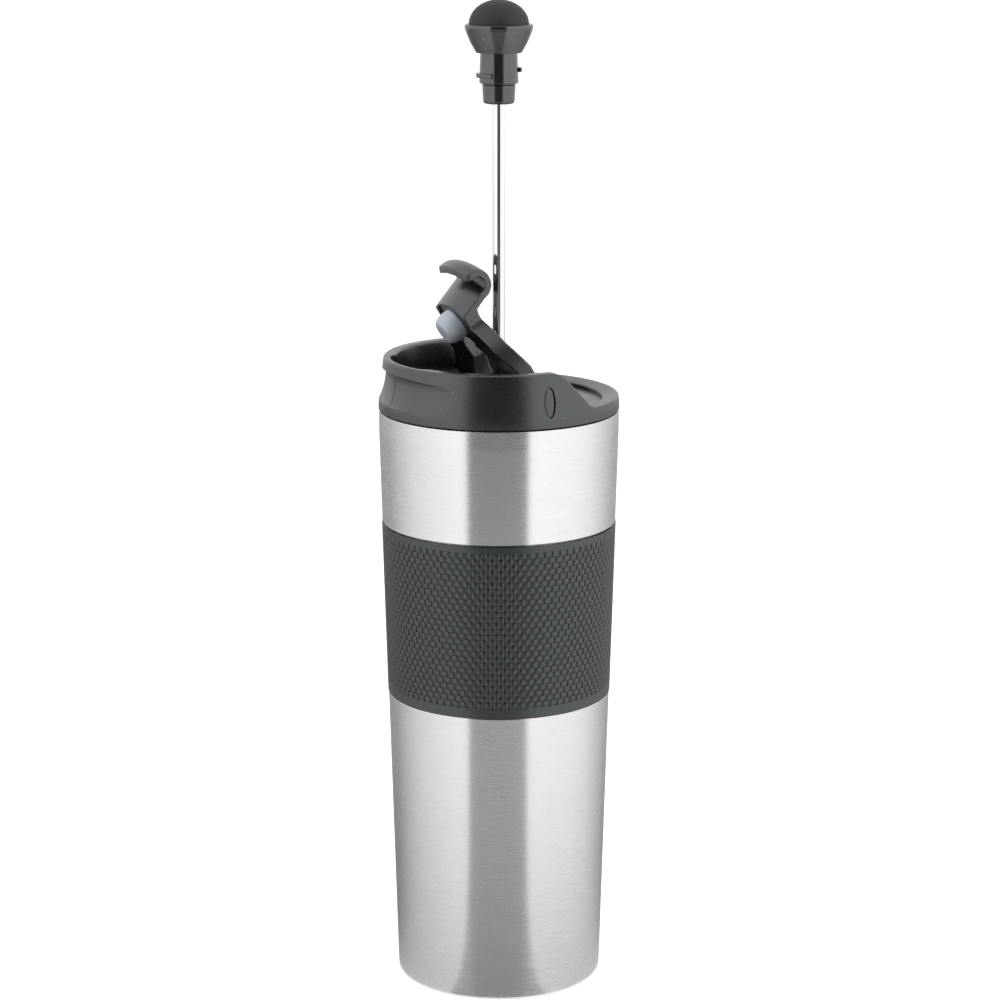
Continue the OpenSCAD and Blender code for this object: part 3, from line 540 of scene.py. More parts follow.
# Each slot's maker, its colour's name and the maker's other values
SLOTS = {
    "brushed_shell": (brushed, "shell", 0.26, 0.94, 1.0),
    "liner_steel": (brushed, "liner", 0.34, 0.3, 0.6),
    "polished_steel": (polished, "polished"),
    "charcoal_plastic": (plastic, "charcoal", 0.27, 0.016, 2600, 0.8, 1.85),
    "gloss_black": (plastic, "gloss", 0.13, 0.003, 900, 0.7, 1.95),
    "soft_touch": (plastic, "soft", 0.62, 0.02, 3200, 0.5),
    "grip_rubber": (plastic, "grip", 0.32, 0.012, 3000, 0.5, 1.75),
    "black_rubber": (plastic, "foot", 0.6, 0.03, 2400),
    "pale_silicone": (silicone, "silicone"),
}


def finish(slot):
    """The slot's material, made when it is first asked for."""
    maker, tint, *values = SLOTS[slot]
    name = "press_" + slot
    tints = bpy.context.scene.press_finishes
    return bpy.data.materials.get(name) or maker(name, tuple(getattr(tints, tint)), *values)


# Geometry node helpers

def node_group(name, inputs):
    """Geometry tree with named inputs; gives the tree, the inputs as terms and their identifiers."""
    tree = bpy.data.node_groups.new(name, "GeometryNodeTree")
    tree.interface.new_socket("Geometry", in_out="OUTPUT", socket_type="NodeSocketGeometry")
    ids = {label: tree.interface.new_socket(label, in_out="INPUT", socket_type="NodeSocket" + kind).identifier
           for label, kind in inputs.items()}
    sockets = tree.nodes.new("NodeGroupInput").outputs
    return tree, {label: Term(sockets[label]) for label in inputs}, ids


def close_group(tree, geometry, slot):
    """Ends a tree in Realize Instances and Set Material."""
    real = add(tree, "GeometryNodeRealizeInstances", {"Geometry": geometry})
    painted = add(tree, "GeometryNodeSetMaterial", {"Geometry": real, "Material": finish(slot)})
    add(tree, "NodeGroupOutput", {"Geometry": painted})


def grown(name, tree, ids, values):
    """New object whose mesh is the tree's result."""
    obj = placed(name, bpy.data.meshes.new(name))
    modifier = obj.modifiers.new("rule", "NODES")
    modifier.node_group = tree
    for label, value in values.items():
        modifier[ids[label]] = value
    return baked(obj)


# Cup

def cone_radius(cup, z):
    """Radius of the shell's cone at a height."""
    return cup.foot / 2 + (cup.seam - cup.foot) / 2 * min(z / (cup.height - cup.straight), 1)


class PRESS_OT_cup(bpy.types.Operator):
    """Builds the steel shell, the liner, the base plate and the foot pad"""

    bl_idname = "press.cup"
    bl_label = "Cup"

    def execute(self, context):
        cup, grip = sizes("press_cup"), sizes("press_grip")
        h, t, lift, seam_r = cup.height - cup.seam_edge, cup.sheet, cup.lift, cup.seam / 2
        g0, g1, deep = grip.z, grip.z + grip.height, grip.recess
        cone = lambda z: cone_radius(cup, z)
        shell = lathe("outer_shell_steel", [
            (cone(lift) - t, lift, 0.2), (cone(lift), lift, 0.9), (cone(g0), g0, 0.25),
            (cone(g0) - deep, g0, 0.1), (cone(g1) - deep, g1, 0.1), (cone(g1), g1, 0.12),
            (seam_r, h - cup.straight, 6), (seam_r, h, 0.14), (seam_r - t, h, 0.1),
            (seam_r - t, h - cup.straight, 6), (cone(g1) - t, g1 + t, 0.1),
            (cone(g1) - deep - t, g1 + t, 0.1), (cone(g0) - deep - t, g0 - t, 0.1),
            (cone(g0) - t, g0 - t, 0.1)], FINE_ROUND)
        on(shell, "cup", "brushed_shell", "outer_shell")

        bore, mouth, floor = cup.bore / 2, cup.mouth / 2, cup.floor
        mouth_z = h - cup.mouth_depth
        flare_z = mouth_z - cup.flare
        liner = lathe("inner_liner_steel", [
            (0, floor, 0), (bore, floor, cup.corner), (bore, flare_z, 8), (mouth, mouth_z, 4),
            (mouth, h, 0.7), (seam_r - t, h, 0.1), (seam_r - t, h - t, 0.1), (mouth + t, h - t, 0.5),
            (mouth + t, mouth_z, 4), (bore + t, flare_z, 8), (bore + t, floor - t, cup.corner + t),
            (0, floor - t, 0)], steps=8)
        on(liner, "cup", "liner_steel", "inner_liner")

        edge, pad_top, pad_r = low("foot_pad", 2), high("foot_pad", 2), high("foot_pad", 0)
        plate_r, plate_top = high("base_plate", 0), high("base_plate", 2)
        side = cone(pad_top) - t - JOIN_GAP
        plate = lathe("base_plate_steel", [
            (0, pad_top, 0), (side, pad_top, 0.5), (plate_r, plate_top, 0.1),
            (plate_r - t, plate_top, 0.1), (side - t, pad_top + t, 0.4), (0, pad_top + t, 0)])
        on(plate, "cup", "liner_steel", "base_plate")

        outline = [(0, pad_top, 0), (pad_r, pad_top, 0.2), (pad_r, edge, 0.45)]
        groove_top = edge + 0.5
        for r in (pad_r * 0.85, pad_r * 0.6, pad_r * 0.3):
            outline += [(r + 1.2, edge, 0.15), (r + 1.1, groove_top, 0.1), (r + 0.1, groove_top, 0.1),
                        (r, edge, 0.15)]
        on(lathe("foot_pad_rubber", outline + [(0, edge, 0)]), "cup", "black_rubber", "foot_pad")
        return {"FINISHED"}


def tile_tree(slot):
    """Rows of crowned tiles on a cone, each row set off by half a tile."""
    tree, given, ids = node_group("grip_tiles", {
        "Columns": "Int", "Rows": "Int", "First Height": "Float", "Row Height": "Float",
        "Foot Radius": "Float", "Slope": "Float", "Tile": "Object"})
    points = add(tree, "GeometryNodePoints", {"Count": given["Columns"] * given["Rows"]})
    index = add(tree, "GeometryNodeInputIndex")
    row = (index / given["Columns"]).calc("FLOOR")
    column = index - row * given["Columns"]
    angle = (column + row.calc("MODULO", 2.0) * 0.5) / given["Columns"] * (2 * math.pi)
    z = row * given["Row Height"] + given["First Height"]
    radius = z * given["Slope"] + given["Foot Radius"]
    place = vector(tree, angle.calc("COSINE") * radius, angle.calc("SINE") * radius, z)
    tile = add(tree, "GeometryNodeObjectInfo", {"Object": given["Tile"]}, transform_space="ORIGINAL")
    tiles = add(tree, "GeometryNodeInstanceOnPoints", {
        "Points": add(tree, "GeometryNodeSetPosition", {"Geometry": points, "Position": place}),
        "Instance": tile.out("Geometry"),
        "Rotation": vector(tree, 0.0, given["Slope"].calc("ARCTANGENT"), angle),
        "Scale": vector(tree, 1.0, radius / given["Foot Radius"], 1.0)})
    close_group(tree, tiles, slot)
    return tree, ids


def tile_object(width, height, depth, crown):
    """One tile, facing +X: crowned from end to end, with rounded edges."""
    across = (-0.5, -0.44, -0.25, 0, 0.25, 0.44, 0.5)
    up = (-0.5, -0.43, 0.43, 0.5)
    end_drop, side_drop, outermost = 0.16, 0.07, 0.47
    verts = []
    for v in up:
        for u in across:
            drop = end_drop * (abs(u) > outermost) + side_drop * (abs(v) > outermost)
            verts.append((crown * (1 - (2 * u) ** 2) - drop, u * width, v * height))
    columns, rows = len(across), len(up)
    faces = [(r * columns + c, r * columns + c + 1, (r + 1) * columns + c + 1, (r + 1) * columns + c)
             for r in range(rows - 1) for c in range(columns - 1)]
    border = list(range(columns)) + [r * columns + columns - 1 for r in range(1, rows)]
    border += [(rows - 1) * columns + c for c in range(columns - 2, -1, -1)]
    border += [r * columns for r in range(rows - 2, 0, -1)]
    start, n = len(verts), len(border)
    verts += [(-depth, verts[i][1] * 1.04, verts[i][2] * 1.02) for i in border]
    faces += [(border[i], start + i, start + (i + 1) % n, border[(i + 1) % n]) for i in range(n)]
    mesh = raw_mesh("tile", verts, faces)
    mesh.shade_smooth()
    mesh.set_sharp_from_angle(angle=math.radians(50))
    return placed("tile", mesh)


class PRESS_OT_grip(bpy.types.Operator):
    """Builds the rubber grip band with its woven relief"""

    bl_idname = "press.grip"
    bl_label = "Grip band"

    def execute(self, context):
        cup, grip = sizes("press_cup"), sizes("press_grip")
        z0, z1 = grip.z + JOIN_GAP, grip.z + grip.height - grip.gap
        f0, f1 = z0 + grip.low_margin, z1 - grip.high_margin
        proud, ground, deep, crown = grip.proud, grip.proud - grip.field, grip.recess - JOIN_GAP, grip.crown
        cone = lambda z: cone_radius(cup, z)
        slant = 0.2
        band = lathe("grip_band_rubber", [
            (cone(z0) - deep, z0, 0.05), (cone(z0) + proud, z0, 0.3), (cone(f0) + proud, f0, 0.15),
            (cone(f0 + slant) + ground, f0 + slant, 0.1), (cone(f1 - slant) + ground, f1 - slant, 0.1),
            (cone(f1) + proud, f1, 0.15), (cone(z1) + proud, z1, 0.15), (cone(z1) - 0.1, z1, 0.1),
            (cone(z1) - deep, z1 - 0.7, 0.05)], FINE_ROUND)
        on(band, "cup", "grip_rubber", "grip_band")

        row, base = (f1 - f0) / grip.rows, cup.foot / 2 + proud - crown
        width = 2 * math.pi * base / grip.columns - grip.groove
        share_of_row, sunk = 0.965, 0.1
        tile = tile_object(width, row * share_of_row, grip.field - crown + sunk, crown)
        tiles = grown("grip_band_tiles", *tile_tree("grip_rubber"), {
            "Columns": grip.columns, "Rows": grip.rows, "First Height": (f0 + row / 2) * MM,
            "Row Height": row * MM, "Foot Radius": base * MM,
            "Slope": (cup.seam - cup.foot) / 2 / (cup.height - cup.straight), "Tile": tile})
        bpy.data.objects.remove(tile)
        on(tiles, "cup", "grip_rubber")
        return {"FINISHED"}


# Lid

def smoothstep(x):
    x = np.clip(x, 0, 1)
    return x * x * (3 - 2 * x)


def swoop_height(collar, y, rim_z, rear_z):
    """Height of the collar's top at a distance behind the axis."""
    top_r, foot_r, start = collar.swoop_top, collar.swoop_foot, collar.swoop
    reach, bend = math.tan(math.pi / 8), math.sin(math.pi / 4)
    top_y, foot_y = start - top_r * reach, start + rim_z - rear_z + foot_r * reach
    crest = rim_z - top_r + np.sqrt(np.maximum(top_r ** 2 - (y - top_y) ** 2, 0))
    hollow = rear_z + foot_r - np.sqrt(np.maximum(foot_r ** 2 - (y - foot_y) ** 2, 0))
    return np.where(y < top_y, rim_z, np.where(y < top_y + top_r * bend, crest, np.where(
        y < foot_y - foot_r * bend, rim_z - (y - start), np.where(y < foot_y, hollow, rear_z))))


def collar_side(collar, z, lid_z, rim_z):
    """Radius of the collar's outer wall at a height."""
    foot = lid_z + collar.foot
    return collar.radius - collar.inset * np.maximum(0, z - foot) / (rim_z - collar.rounding - foot)


def notched(collar, theta, lid_z, rim_z):
    """Gives the function of the outer wall's radius at a height, with the finger notch and parting line."""
    sin, cos = np.sin(theta), np.cos(theta)
    depth, notch_top = collar.notch, rim_z - collar.lip
    wall = collar.radius - collar.inset + collar.inset * collar.lip / (rim_z - lid_z)
    fade = math.radians(42)
    back = depth * (wall - depth / 2) / (wall * (1 - math.cos(fade)) - depth)
    cut_r = wall + back - depth
    heights = np.linspace(0, 1, 101)
    hollow = np.interp(heights, [0, 0.2, 0.42, 0.6, 0.8, 0.92, 1], [1, 0.6, 0.28, 0.12, 0, 0.25, 1])
    hollow = np.convolve(np.pad(hollow, 4, "edge"), np.ones(9) / 9, "valid")
    far, parting = 40, 0.2

    def outer(z):
        side = collar_side(collar, z, lid_z, rim_z)
        u = (z - (notch_top - collar.notch_height)) / collar.notch_height
        cutter = cut_r + depth * np.where((u > 0) & (u < 1), np.interp(u, heights, hollow), far)
        reach = -back * cos + np.sqrt(np.maximum(cutter ** 2 - (back * sin) ** 2, 0))
        in_line = (np.abs(sin) < 0.004) * (cos > 0) * (z > lid_z + 0.6) * (z < notch_top)
        return np.where(cos > 0, np.minimum(side, reach), side) - parting * in_line

    return outer


def collar_rings(collar, lid_z, rim_z, deck_z, deck_r):
    """Sections of the collar round the cup, each a closed loop of corners."""
    even = np.arange(640) * 2 * math.pi / 640
    beside_parting = np.radians([0.17, 0.36, 359.64, 359.83])
    theta = np.sort(np.concatenate([even, beside_parting]))
    sin, cos, same = np.sin(theta), np.cos(theta), np.zeros(len(theta))
    rear_z, rim_r = lid_z + collar.rear, collar.radius - collar.inset
    in_r, nest_r = rim_r - collar.rim, rim_r - collar.nest
    blend = 4
    nested = smoothstep((collar.nest_width / 2 + blend - np.abs(nest_r * sin)) / blend) * (cos > 0)
    inside = in_r + (nest_r - in_r) * nested
    outer = notched(collar, theta, lid_z, rim_z)

    slope_r, slope_y = rim_r + 0.8, 17

    def top(r):
        fall = collar.slope * np.clip((slope_r - r) / (slope_r - in_r), 0, 1)
        return swoop_height(collar, -r * cos, rim_z, rear_z) - fall * smoothstep((-r * cos - slope_y) / blend)

    edge = rim_r + same
    for _ in range(8):
        edge = np.where(cos > 0, rim_r, collar_side(collar, top(edge), lid_z, rim_z))
    rear_rounding = 0.45
    corner = np.where(top(edge) > rim_z - 0.01, collar.rounding, rear_rounding)
    corner = np.convolve(np.pad(corner, 6, "wrap"), np.ones(13) / 13, "valid")
    in_corner = np.minimum(corner, 0.42 * (top(inside) - deck_z))
    quarter = [(1 - math.cos(k * math.pi / 10), 1 - math.sin(k * math.pi / 10)) for k in range(1, 6)]

    chamfer = 0.12
    loops = [(collar.radius - chamfer + same, lid_z + same)]
    side_z, side_top = lid_z + chamfer, top(edge) - corner
    rows = [[0], np.linspace(0.02, 0.28, 7), np.linspace(0.3, 0.72, 16), np.linspace(0.735, 0.86, 14),
            np.linspace(0.88, 1, 5)]
    for share in np.concatenate(rows):
        z = side_z + share * (side_top - side_z)
        loops.append((outer(z), z))
    for c, s in quarter:
        r = edge - corner * c
        loops.append((r, top(r) - corner * s))
    start, end = edge - corner, inside + in_corner
    for share in (0.15, 0.4, 0.65, 0.85, 1):
        r = start + (end - start) * share
        loops.append((r, top(r)))
    for c, s in quarter:
        r = inside + in_corner * s
        loops.append((r, top(r) - in_corner * c))
    wall_top = top(inside) - in_corner
    for share in (0.1, 0.3, 0.5, 0.7, 0.9, 1):
        loops.append((inside, wall_top + (deck_z - wall_top) * share))
    loops += [(deck_r + JOIN_GAP + same, deck_z + same), (deck_r + JOIN_GAP + same, lid_z + same)]
    return [[(r[i] * sin[i], -r[i] * cos[i], z[i]) for r, z in loops] for i in range(len(theta))]


def ellipse(width, height, shift=0.0, steps=44):
    """Points of an upright ellipse, as (y, z)."""
    angles = [2 * math.pi * k / steps for k in range(steps)]
    return [(shift + width / 2 * math.cos(a), height / 2 * math.sin(a)) for a in angles]


def pin_rings(collar, side, lid_z, rim_z):
    """Sections of a pivot pin, from the middle of its head to the inner end of its shaft."""
    y0, z0, gap = collar.pin_y, collar.pin_z, collar.head_gap
    width, height, shift = collar.head_width - gap, collar.head_height - gap / 2, 0.04 - gap / 2
    head_x, shaft_end, shaft_r = 35.1, 22.02, 1.5

    def wall(y, z):
        return math.sqrt(collar_side(collar, z0 + z, lid_z, rim_z) ** 2 - (y0 + y) ** 2)

    rings = []
    for share, sink in ((0.02, 0.06), (0.35, 0.06), (0.7, 0.06), (0.9, 0.08), (0.97, 0.15), (1, 0.31)):
        rings.append([(wall(y, z) - sink, y, z) for y, z in ellipse(width * share, height * share, shift)])
    shape = ellipse(width, height, shift)
    rings.append([(head_x, y, z) for y, z in shape])
    shaft = [(y / math.hypot(y, z) * shaft_r, z / math.hypot(y, z) * shaft_r) for y, z in shape]
    for x, share in ((head_x - 0.1, 1), (shaft_end + 0.28, 1), (shaft_end, 0.82)):
        rings.append([(x, y * share, z * share) for y, z in shaft])
    return [[(side * x, y0 + y, z0 + z) for x, y, z in ring] for ring in rings]


class PRESS_OT_collar(bpy.types.Operator):
    """Builds the lid's collar and the pivot pins whose oval heads lie in it"""

    bl_idname = "press.collar"
    bl_label = "Lid collar and pins"

    def execute(self, context):
        collar, lid = sizes("press_collar"), sizes("press_lid")
        lid_z, rim_z = low("lid_collar", 2), high("lid_collar", 2)
        rings = collar_rings(collar, lid_z, rim_z, lid_z + lid.deck, lid.deck_radius)
        ring = shaped("lid_collar_shell", loft(rings, True))
        seat = ellipse(collar.head_width, collar.head_height)
        seats = [shaped("seat", loft([[(side * x, collar.pin_y + y, collar.pin_z + z) for y, z in seat]
                                      for x in (35, 42)])) for side in (1, -1)]
        on(cut_away(ring, seats), "lid", "charcoal_plastic", "lid_collar")
        for side, word in ((1, "right"), (-1, "left")):
            pin = shaped("pivot_pin_" + word, loft(pin_rings(collar, side, lid_z, rim_z)))
            on(pin, "lid", "charcoal_plastic", "hinge_pin_" + word)
        return {"FINISHED"}


def thread(core_r, crest_r, pitch, start_z, turns):
    """Corners and faces of a screw thread that runs out at both ends."""
    steps, root, sunk, crest = int(96 * turns), 0.75, 0.3, 0.3
    rings = []
    for k in range(steps + 1):
        a = 2 * math.pi * turns * k / steps
        z = start_z + pitch * turns * k / steps
        out = core_r + (crest_r - core_r) * min(1, 8 * k / steps, 8 * (1 - k / steps)) + 0.02
        section = [(core_r - sunk, -root), (core_r, -root), (out, -crest), (out, crest), (core_r, root),
                   (core_r - sunk, root)]
        rings.append([(r * math.cos(a), r * math.sin(a), z + h) for r, h in section])
    return loft(rings)


class PRESS_OT_lid(bpy.types.Operator):
    """Builds the lid's deck with its screw plug and thread, the seals and the seal's cap"""

    bl_idname = "press.lid"
    bl_label = "Lid body and seals"

    def execute(self, context):
        lid = sizes("press_lid")
        on(dressed("lid_deck", "lid_deck_body", 0.2), "lid", "charcoal_plastic", "lid_deck")
        start_z, turns = low("lid_collar", 2) - 12.5, 2.5
        relief = thread(lid.plug, lid.plug + lid.thread, lid.pitch, start_z, turns)
        on(shaped("lid_thread", relief), "lid", "charcoal_plastic")
        on(dressed("seal_cap", "seal_cap_body", 0.25), "lid", "charcoal_plastic", "seal_cap")
        for node, body, width in (("lid_seal", "lid_gasket", 1.7), ("rod_seal", "rod_gland", 2)):
            r, z0, z1 = high(node, 0), low(node, 2), high(node, 2)
            corners = ((r - width, z0), (r, z0), (r, z1), (r - width, z1))
            ring = lathe(node + "_ring", [(*corner, 0.4) for corner in corners])
            on(ring, body, "pale_silicone", node)
        return {"FINISHED"}


class PRESS_OT_lever(bpy.types.Operator):
    """Builds the flip lever and its stopper"""

    bl_idname = "press.lever"
    bl_label = "Flip lever and stopper"

    def execute(self, context):
        on(moulded("flip_lever", "flip_lever_moulding", 0.25), "lever", "charcoal_plastic", "flip_lever")
        on(moulded("stopper", "stopper_plug", 0.15), "lever", "pale_silicone", "stopper")
        return {"FINISHED"}


# Plunger

def sector(outer_r, inner_r, z, thickness, middle, width):
    """Part of a ring with softened outer edges, its middle at an angle from the drinking side."""
    section = rounded([(inner_r, z, 0), (outer_r, z, 0.3), (outer_r, z + thickness, 0.3),
                       (inner_r, z + thickness, 0)], True, 3)
    steps, end_share, end_drop = 24, 0.06, 0.25
    rings = []
    for k in range(steps + 1):
        share = k / steps
        a = math.radians(middle - 90 - width / 2 + width * share)
        end = max(0, 1 - min(share, 1 - share) / end_share)
        shrink = 1 - end_drop * (1 - math.sqrt(max(0, 1 - end * end)))
        radii = [inner_r + (r - inner_r) * shrink for r, _ in section]
        rings.append([(r * math.cos(a), r * math.sin(a), h) for r, (_, h) in zip(radii, section)])
    return loft(rings)


class PRESS_OT_knob(bpy.types.Operator):
    """Builds the knob with its lugs, dome and ferrule, and the plunger rod"""

    bl_idname = "press.knob"
    bl_label = "Knob and rod"

    def execute(self, context):
        knob = sizes("press_knob")
        z, big, cup, neck, rod, dome = knob.z, knob.radius, knob.cup, knob.neck, knob.rod, knob.dome
        neck_z, dome_z, hole = z - knob.neck_height, z + cup + knob.edge, knob.rod + JOIN_GAP
        sunk = 2.4
        # Shares of the cup's radius and height, and roundings
        flank = [(0.675, 0, 0.3), (0.69, 0.055, 0.4), (0.741, 0.173, 3), (0.838, 0.41, 6),
                 (0.911, 0.641, 6), (0.977, 0.878, 1.2), (1, 1, 0.35)]
        body = turned([(hole, neck_z, 0.1), (neck, neck_z, 0.35), (neck - 0.34, z, 0.15)]
                      + [(big * a, z + cup * b, c) for a, b, c in flank]
                      + [(big - 0.25, dome_z, 0.3), (dome + 0.12, dome_z, 0.15),
                         (dome + JOIN_GAP, dome_z - sunk, 0.1), (hole, dome_z - sunk, 0.1)])
        lug_z, lug_angle, lug_width = z - 7.6, 8, 76
        lugs = [sector(neck + knob.lug, neck - 0.5, lug_z + step, knob.lug_thickness, lug_angle + turn,
                       lug_width) for step, turn in ((0, 0), (1.6, 180))]
        on(shaped("knob_cup_and_neck", joined(body, *lugs)), "plunger", "gloss_black", "knob_body")

        arc = [math.radians(a) for a in range(0, 90, 5)]
        cap = [(dome * math.cos(a), dome_z + knob.dome_height * math.sin(a), 0) for a in arc]
        top = lathe("knob_dome_soft", [(0, dome_z - sunk, 0), (dome, dome_z - sunk, 0.1), *cap,
                                       (0, dome_z + knob.dome_height, 0)])
        on(top, "plunger", "soft_touch", "knob_dome")

        ferrule, low_z = knob.ferrule, neck_z - knob.ferrule_height
        ring = lathe("knob_ferrule_ring", [
            (hole, neck_z, 0.05), (hole, low_z, 0.3), (ferrule - 0.3, low_z, 1), (ferrule, neck_z - 0.5, 0.1),
            (ferrule - 0.25, neck_z - 0.3, 0.1), (ferrule - 0.25, neck_z, 0.05)])
        on(ring, "plunger", "gloss_black", "knob_ferrule")

        start, end = low("plunger_rod", 2), high("plunger_rod", 2)
        stem = lathe("plunger_rod_steel", [(0, start, 0), (rod, start, 0.3), (rod, end, 0.3), (0, end, 0)], 96)
        on(stem, "plunger", "polished_steel", "plunger_rod")
        return {"FINISHED"}


def circle(tree, sides, radius):
    return add(tree, "GeometryNodeCurvePrimitiveCircle", {"Resolution": sides, "Radius": radius}, mode="RADIUS")


def wire(tree, path, radius, sides, capped):
    """Wire of a radius along a curve."""
    return add(tree, "GeometryNodeCurveToMesh", {
        "Curve": path, "Profile Curve": circle(tree, sides, radius), "Fill Caps": capped})


def coil_tree(slot):
    """A wire wound round a ring."""
    tree, given, ids = node_group("wound_spring", {
        "Curls": "Int", "Ring Radius": "Float", "Coil Radius": "Float", "Wire Radius": "Float",
        "Height": "Float"})
    per_curl = 12.0
    total = given["Curls"] * per_curl
    round_ring = add(tree, "GeometryNodeInputIndex") / total * (2 * math.pi)
    wind = round_ring * given["Curls"]
    reach = wind.calc("COSINE") * given["Coil Radius"] + given["Ring Radius"]
    place = vector(tree, round_ring.calc("COSINE") * reach, round_ring.calc("SINE") * reach,
                   wind.calc("SINE") * given["Coil Radius"] + given["Height"])
    put = add(tree, "GeometryNodeSetPosition", {"Geometry": circle(tree, total, 0.01), "Position": place})
    close_group(tree, wire(tree, put, given["Wire Radius"], 6, False), slot)
    return tree, ids


def mesh_tree(slot):
    """Two crossed layers of straight wires, each wire as long as the disc is wide there."""
    tree, given, ids = node_group("wire_cloth", {
        "Wires": "Int", "Disc Radius": "Float", "Wire Radius": "Float", "Height": "Float"})
    share = (add(tree, "GeometryNodeInputIndex") + 0.5) / given["Wires"]
    off = (share * 2.0 + -1.0) * given["Disc Radius"]
    half = (given["Disc Radius"].calc("POWER", 2.0) - off.calc("POWER", 2.0)).calc("SQRT")
    put = add(tree, "GeometryNodeSetPosition", {
        "Geometry": add(tree, "GeometryNodePoints", {"Count": given["Wires"]}),
        "Position": vector(tree, off, 0.0, given["Height"])})
    line = add(tree, "GeometryNodeCurvePrimitiveLine", {"Start": (0, -1, 0), "End": (0, 1, 0)})
    layer = add(tree, "GeometryNodeInstanceOnPoints", {
        "Points": put, "Instance": line, "Scale": vector(tree, 1.0, half, 1.0)})
    crossed = add(tree, "GeometryNodeTransform", {"Geometry": layer, "Rotation": (0, 0, math.pi / 2)})
    lifted = add(tree, "GeometryNodeTransform", {
        "Geometry": layer, "Translation": vector(tree, 0.0, 0.0, given["Wire Radius"] * 1.8)})
    both = add(tree, "GeometryNodeJoinGeometry", {0: crossed})
    feed(both.node, {0: lifted})
    real = add(tree, "GeometryNodeRealizeInstances", {"Geometry": both})
    close_group(tree, wire(tree, real, given["Wire Radius"], 4, True), slot)
    return tree, ids


class PRESS_OT_filter(bpy.types.Operator):
    """Builds the filter: discs, wire mesh, wound spring and hub nut"""

    bl_idname = "press.filter"
    bl_label = "Filter"

    def execute(self, context):
        size = context.scene.press_filter
        for node, width in (("filter_top_disc", 0.12), ("filter_base_disc", 0.1), ("hub_nut", 0.3)):
            on(dressed(node, node + "_steel", width), "plunger", "polished_steel", node)
        spring = grown("filter_spring_wound", *coil_tree("polished_steel"), {
            "Curls": size.curls, "Ring Radius": size.radius - size.coil, "Coil Radius": size.coil - size.wire,
            "Wire Radius": size.wire, "Height": size.z + size.disc + size.mesh + size.coil})
        spring.data.shade_smooth()
        on(spring, "plunger", "polished_steel", "filter_spring")
        cloth = grown("filter_mesh_cloth", *mesh_tree("liner_steel"), {
            "Wires": size.strands, "Disc Radius": size.radius - 0.2 * MM, "Wire Radius": size.strand,
            "Height": size.z + size.disc + size.strand * 1.2})
        on(cloth, "plunger", "liner_steel", "filter_mesh")
        return {"FINISHED"}


# Studio

def around(azimuth, height, distance):
    """Place at an azimuth counted from the camera's side, in metres."""
    a = math.radians(PHOTO_AZIMUTH - 90 + azimuth)
    return Vector((distance * math.cos(a), distance * math.sin(a), height))


def lamp(name, place, target, width, height, power):
    """Soft lamp that faces a target and isn't mirrored in the pieces."""
    data = bpy.data.lights.new(name, "AREA")
    data.shape = "RECTANGLE"
    data.size, data.size_y = width, height
    data.energy = power
    obj = placed(name, data)
    obj.location = place
    obj.rotation_euler = (place - Vector(target)).to_track_quat("Z", "Y").to_euler()
    obj.visible_glossy = False


def bare_tree(owner):
    """The emptied node tree of a new material or world."""
    owner.use_nodes = True
    owner.node_tree.nodes.clear()
    return owner.node_tree


def seen_ray(tree):
    """1 for rays that come from the camera, straight, mirrored or through something clear."""
    path = add(tree, "ShaderNodeLightPath")
    return path.out("Is Camera Ray").calc(
        "MAXIMUM", path.out("Is Glossy Ray").calc("MAXIMUM", path.out("Is Transmission Ray")))


def bowl_brightness(tree, studio):
    """Brightness of the surroundings: a grey strip towards the camera, bright sides and a dim rear."""
    place = add(tree, "ShaderNodeTexCoord").out("Object")
    swung = add(tree, "ShaderNodeMapping", {
        "Vector": place, "Rotation": (0, 0, math.radians(90 - PHOTO_AZIMUTH))})
    x = add(tree, "ShaderNodeSeparateXYZ", {0: swung})
    y, z = x.out(1), x.out(2)
    angle = y.calc("ARCTAN2", x) * (180 / math.pi)
    ramp = add(tree, "ShaderNodeValToRGB", {"Fac": angle * (1 / 360) + 0.5})
    stops = ramp.node.color_ramp.elements
    while len(stops) > 1:
        stops.remove(stops[-1])
    for i, (degrees, level) in enumerate(ROUND_LIGHT):
        stop = stops.new(degrees / 360 + 0.5) if i else stops[0]
        stop.position, stop.color = degrees / 360 + 0.5, (*[level / FULL_LIGHT] * 3, 1)
    bright = ramp * FULL_LIGHT
    radius = (x * x + y * y).calc("SQRT")
    side_lift = (1.2 - bright) * z.ranged(0.0, 0.65, 0.02, 0.2)
    level = bright * z.ranged(1.06, studio.wall_light, 0.02, 0.3) + side_lift
    strip = angle.ranged(0.0, 1.0, -31.0, -28.5) * angle.ranged(1.0, 0.0, 25.5, 29.5)
    depth = radius.ranged(0.5, studio.strip_depth, 0.28, 0.75) + z.ranged(0.0, 0.14, 0.02, 0.15)
    return level * radius.ranged(0.56, 1.0, 0.04, 0.28) * (1.0 - strip * depth)


def reflection_bowl(studio):
    """Floor and wall that are seen only in reflections, just above the floor and round the cup's foot."""
    floor_z, wall_r, sides = 0.4, 800, 96
    profile = [(r, floor_z) for r in (33.5, 60, 100, 200, 400, 760)] + [(wall_r, 40), (wall_r, 1400)]
    verts, faces = loft(spun(profile, sides))
    end_caps = 2
    mesh = raw_mesh("reflection_bowl", verts, faces[:-end_caps])
    made = bpy.data.materials.new("reflection_bowl")
    tree = bare_tree(made)
    glow = add(tree, "ShaderNodeEmission", {"Color": WHITE, "Strength": bowl_brightness(tree, studio)})
    add(tree, "ShaderNodeOutputMaterial", {"Surface": glow})
    mesh.materials.append(made)
    obj = placed("reflection_bowl", mesh)
    obj.visible_camera = obj.visible_diffuse = obj.visible_shadow = False
    obj.visible_transmission = obj.visible_volume_scatter = False


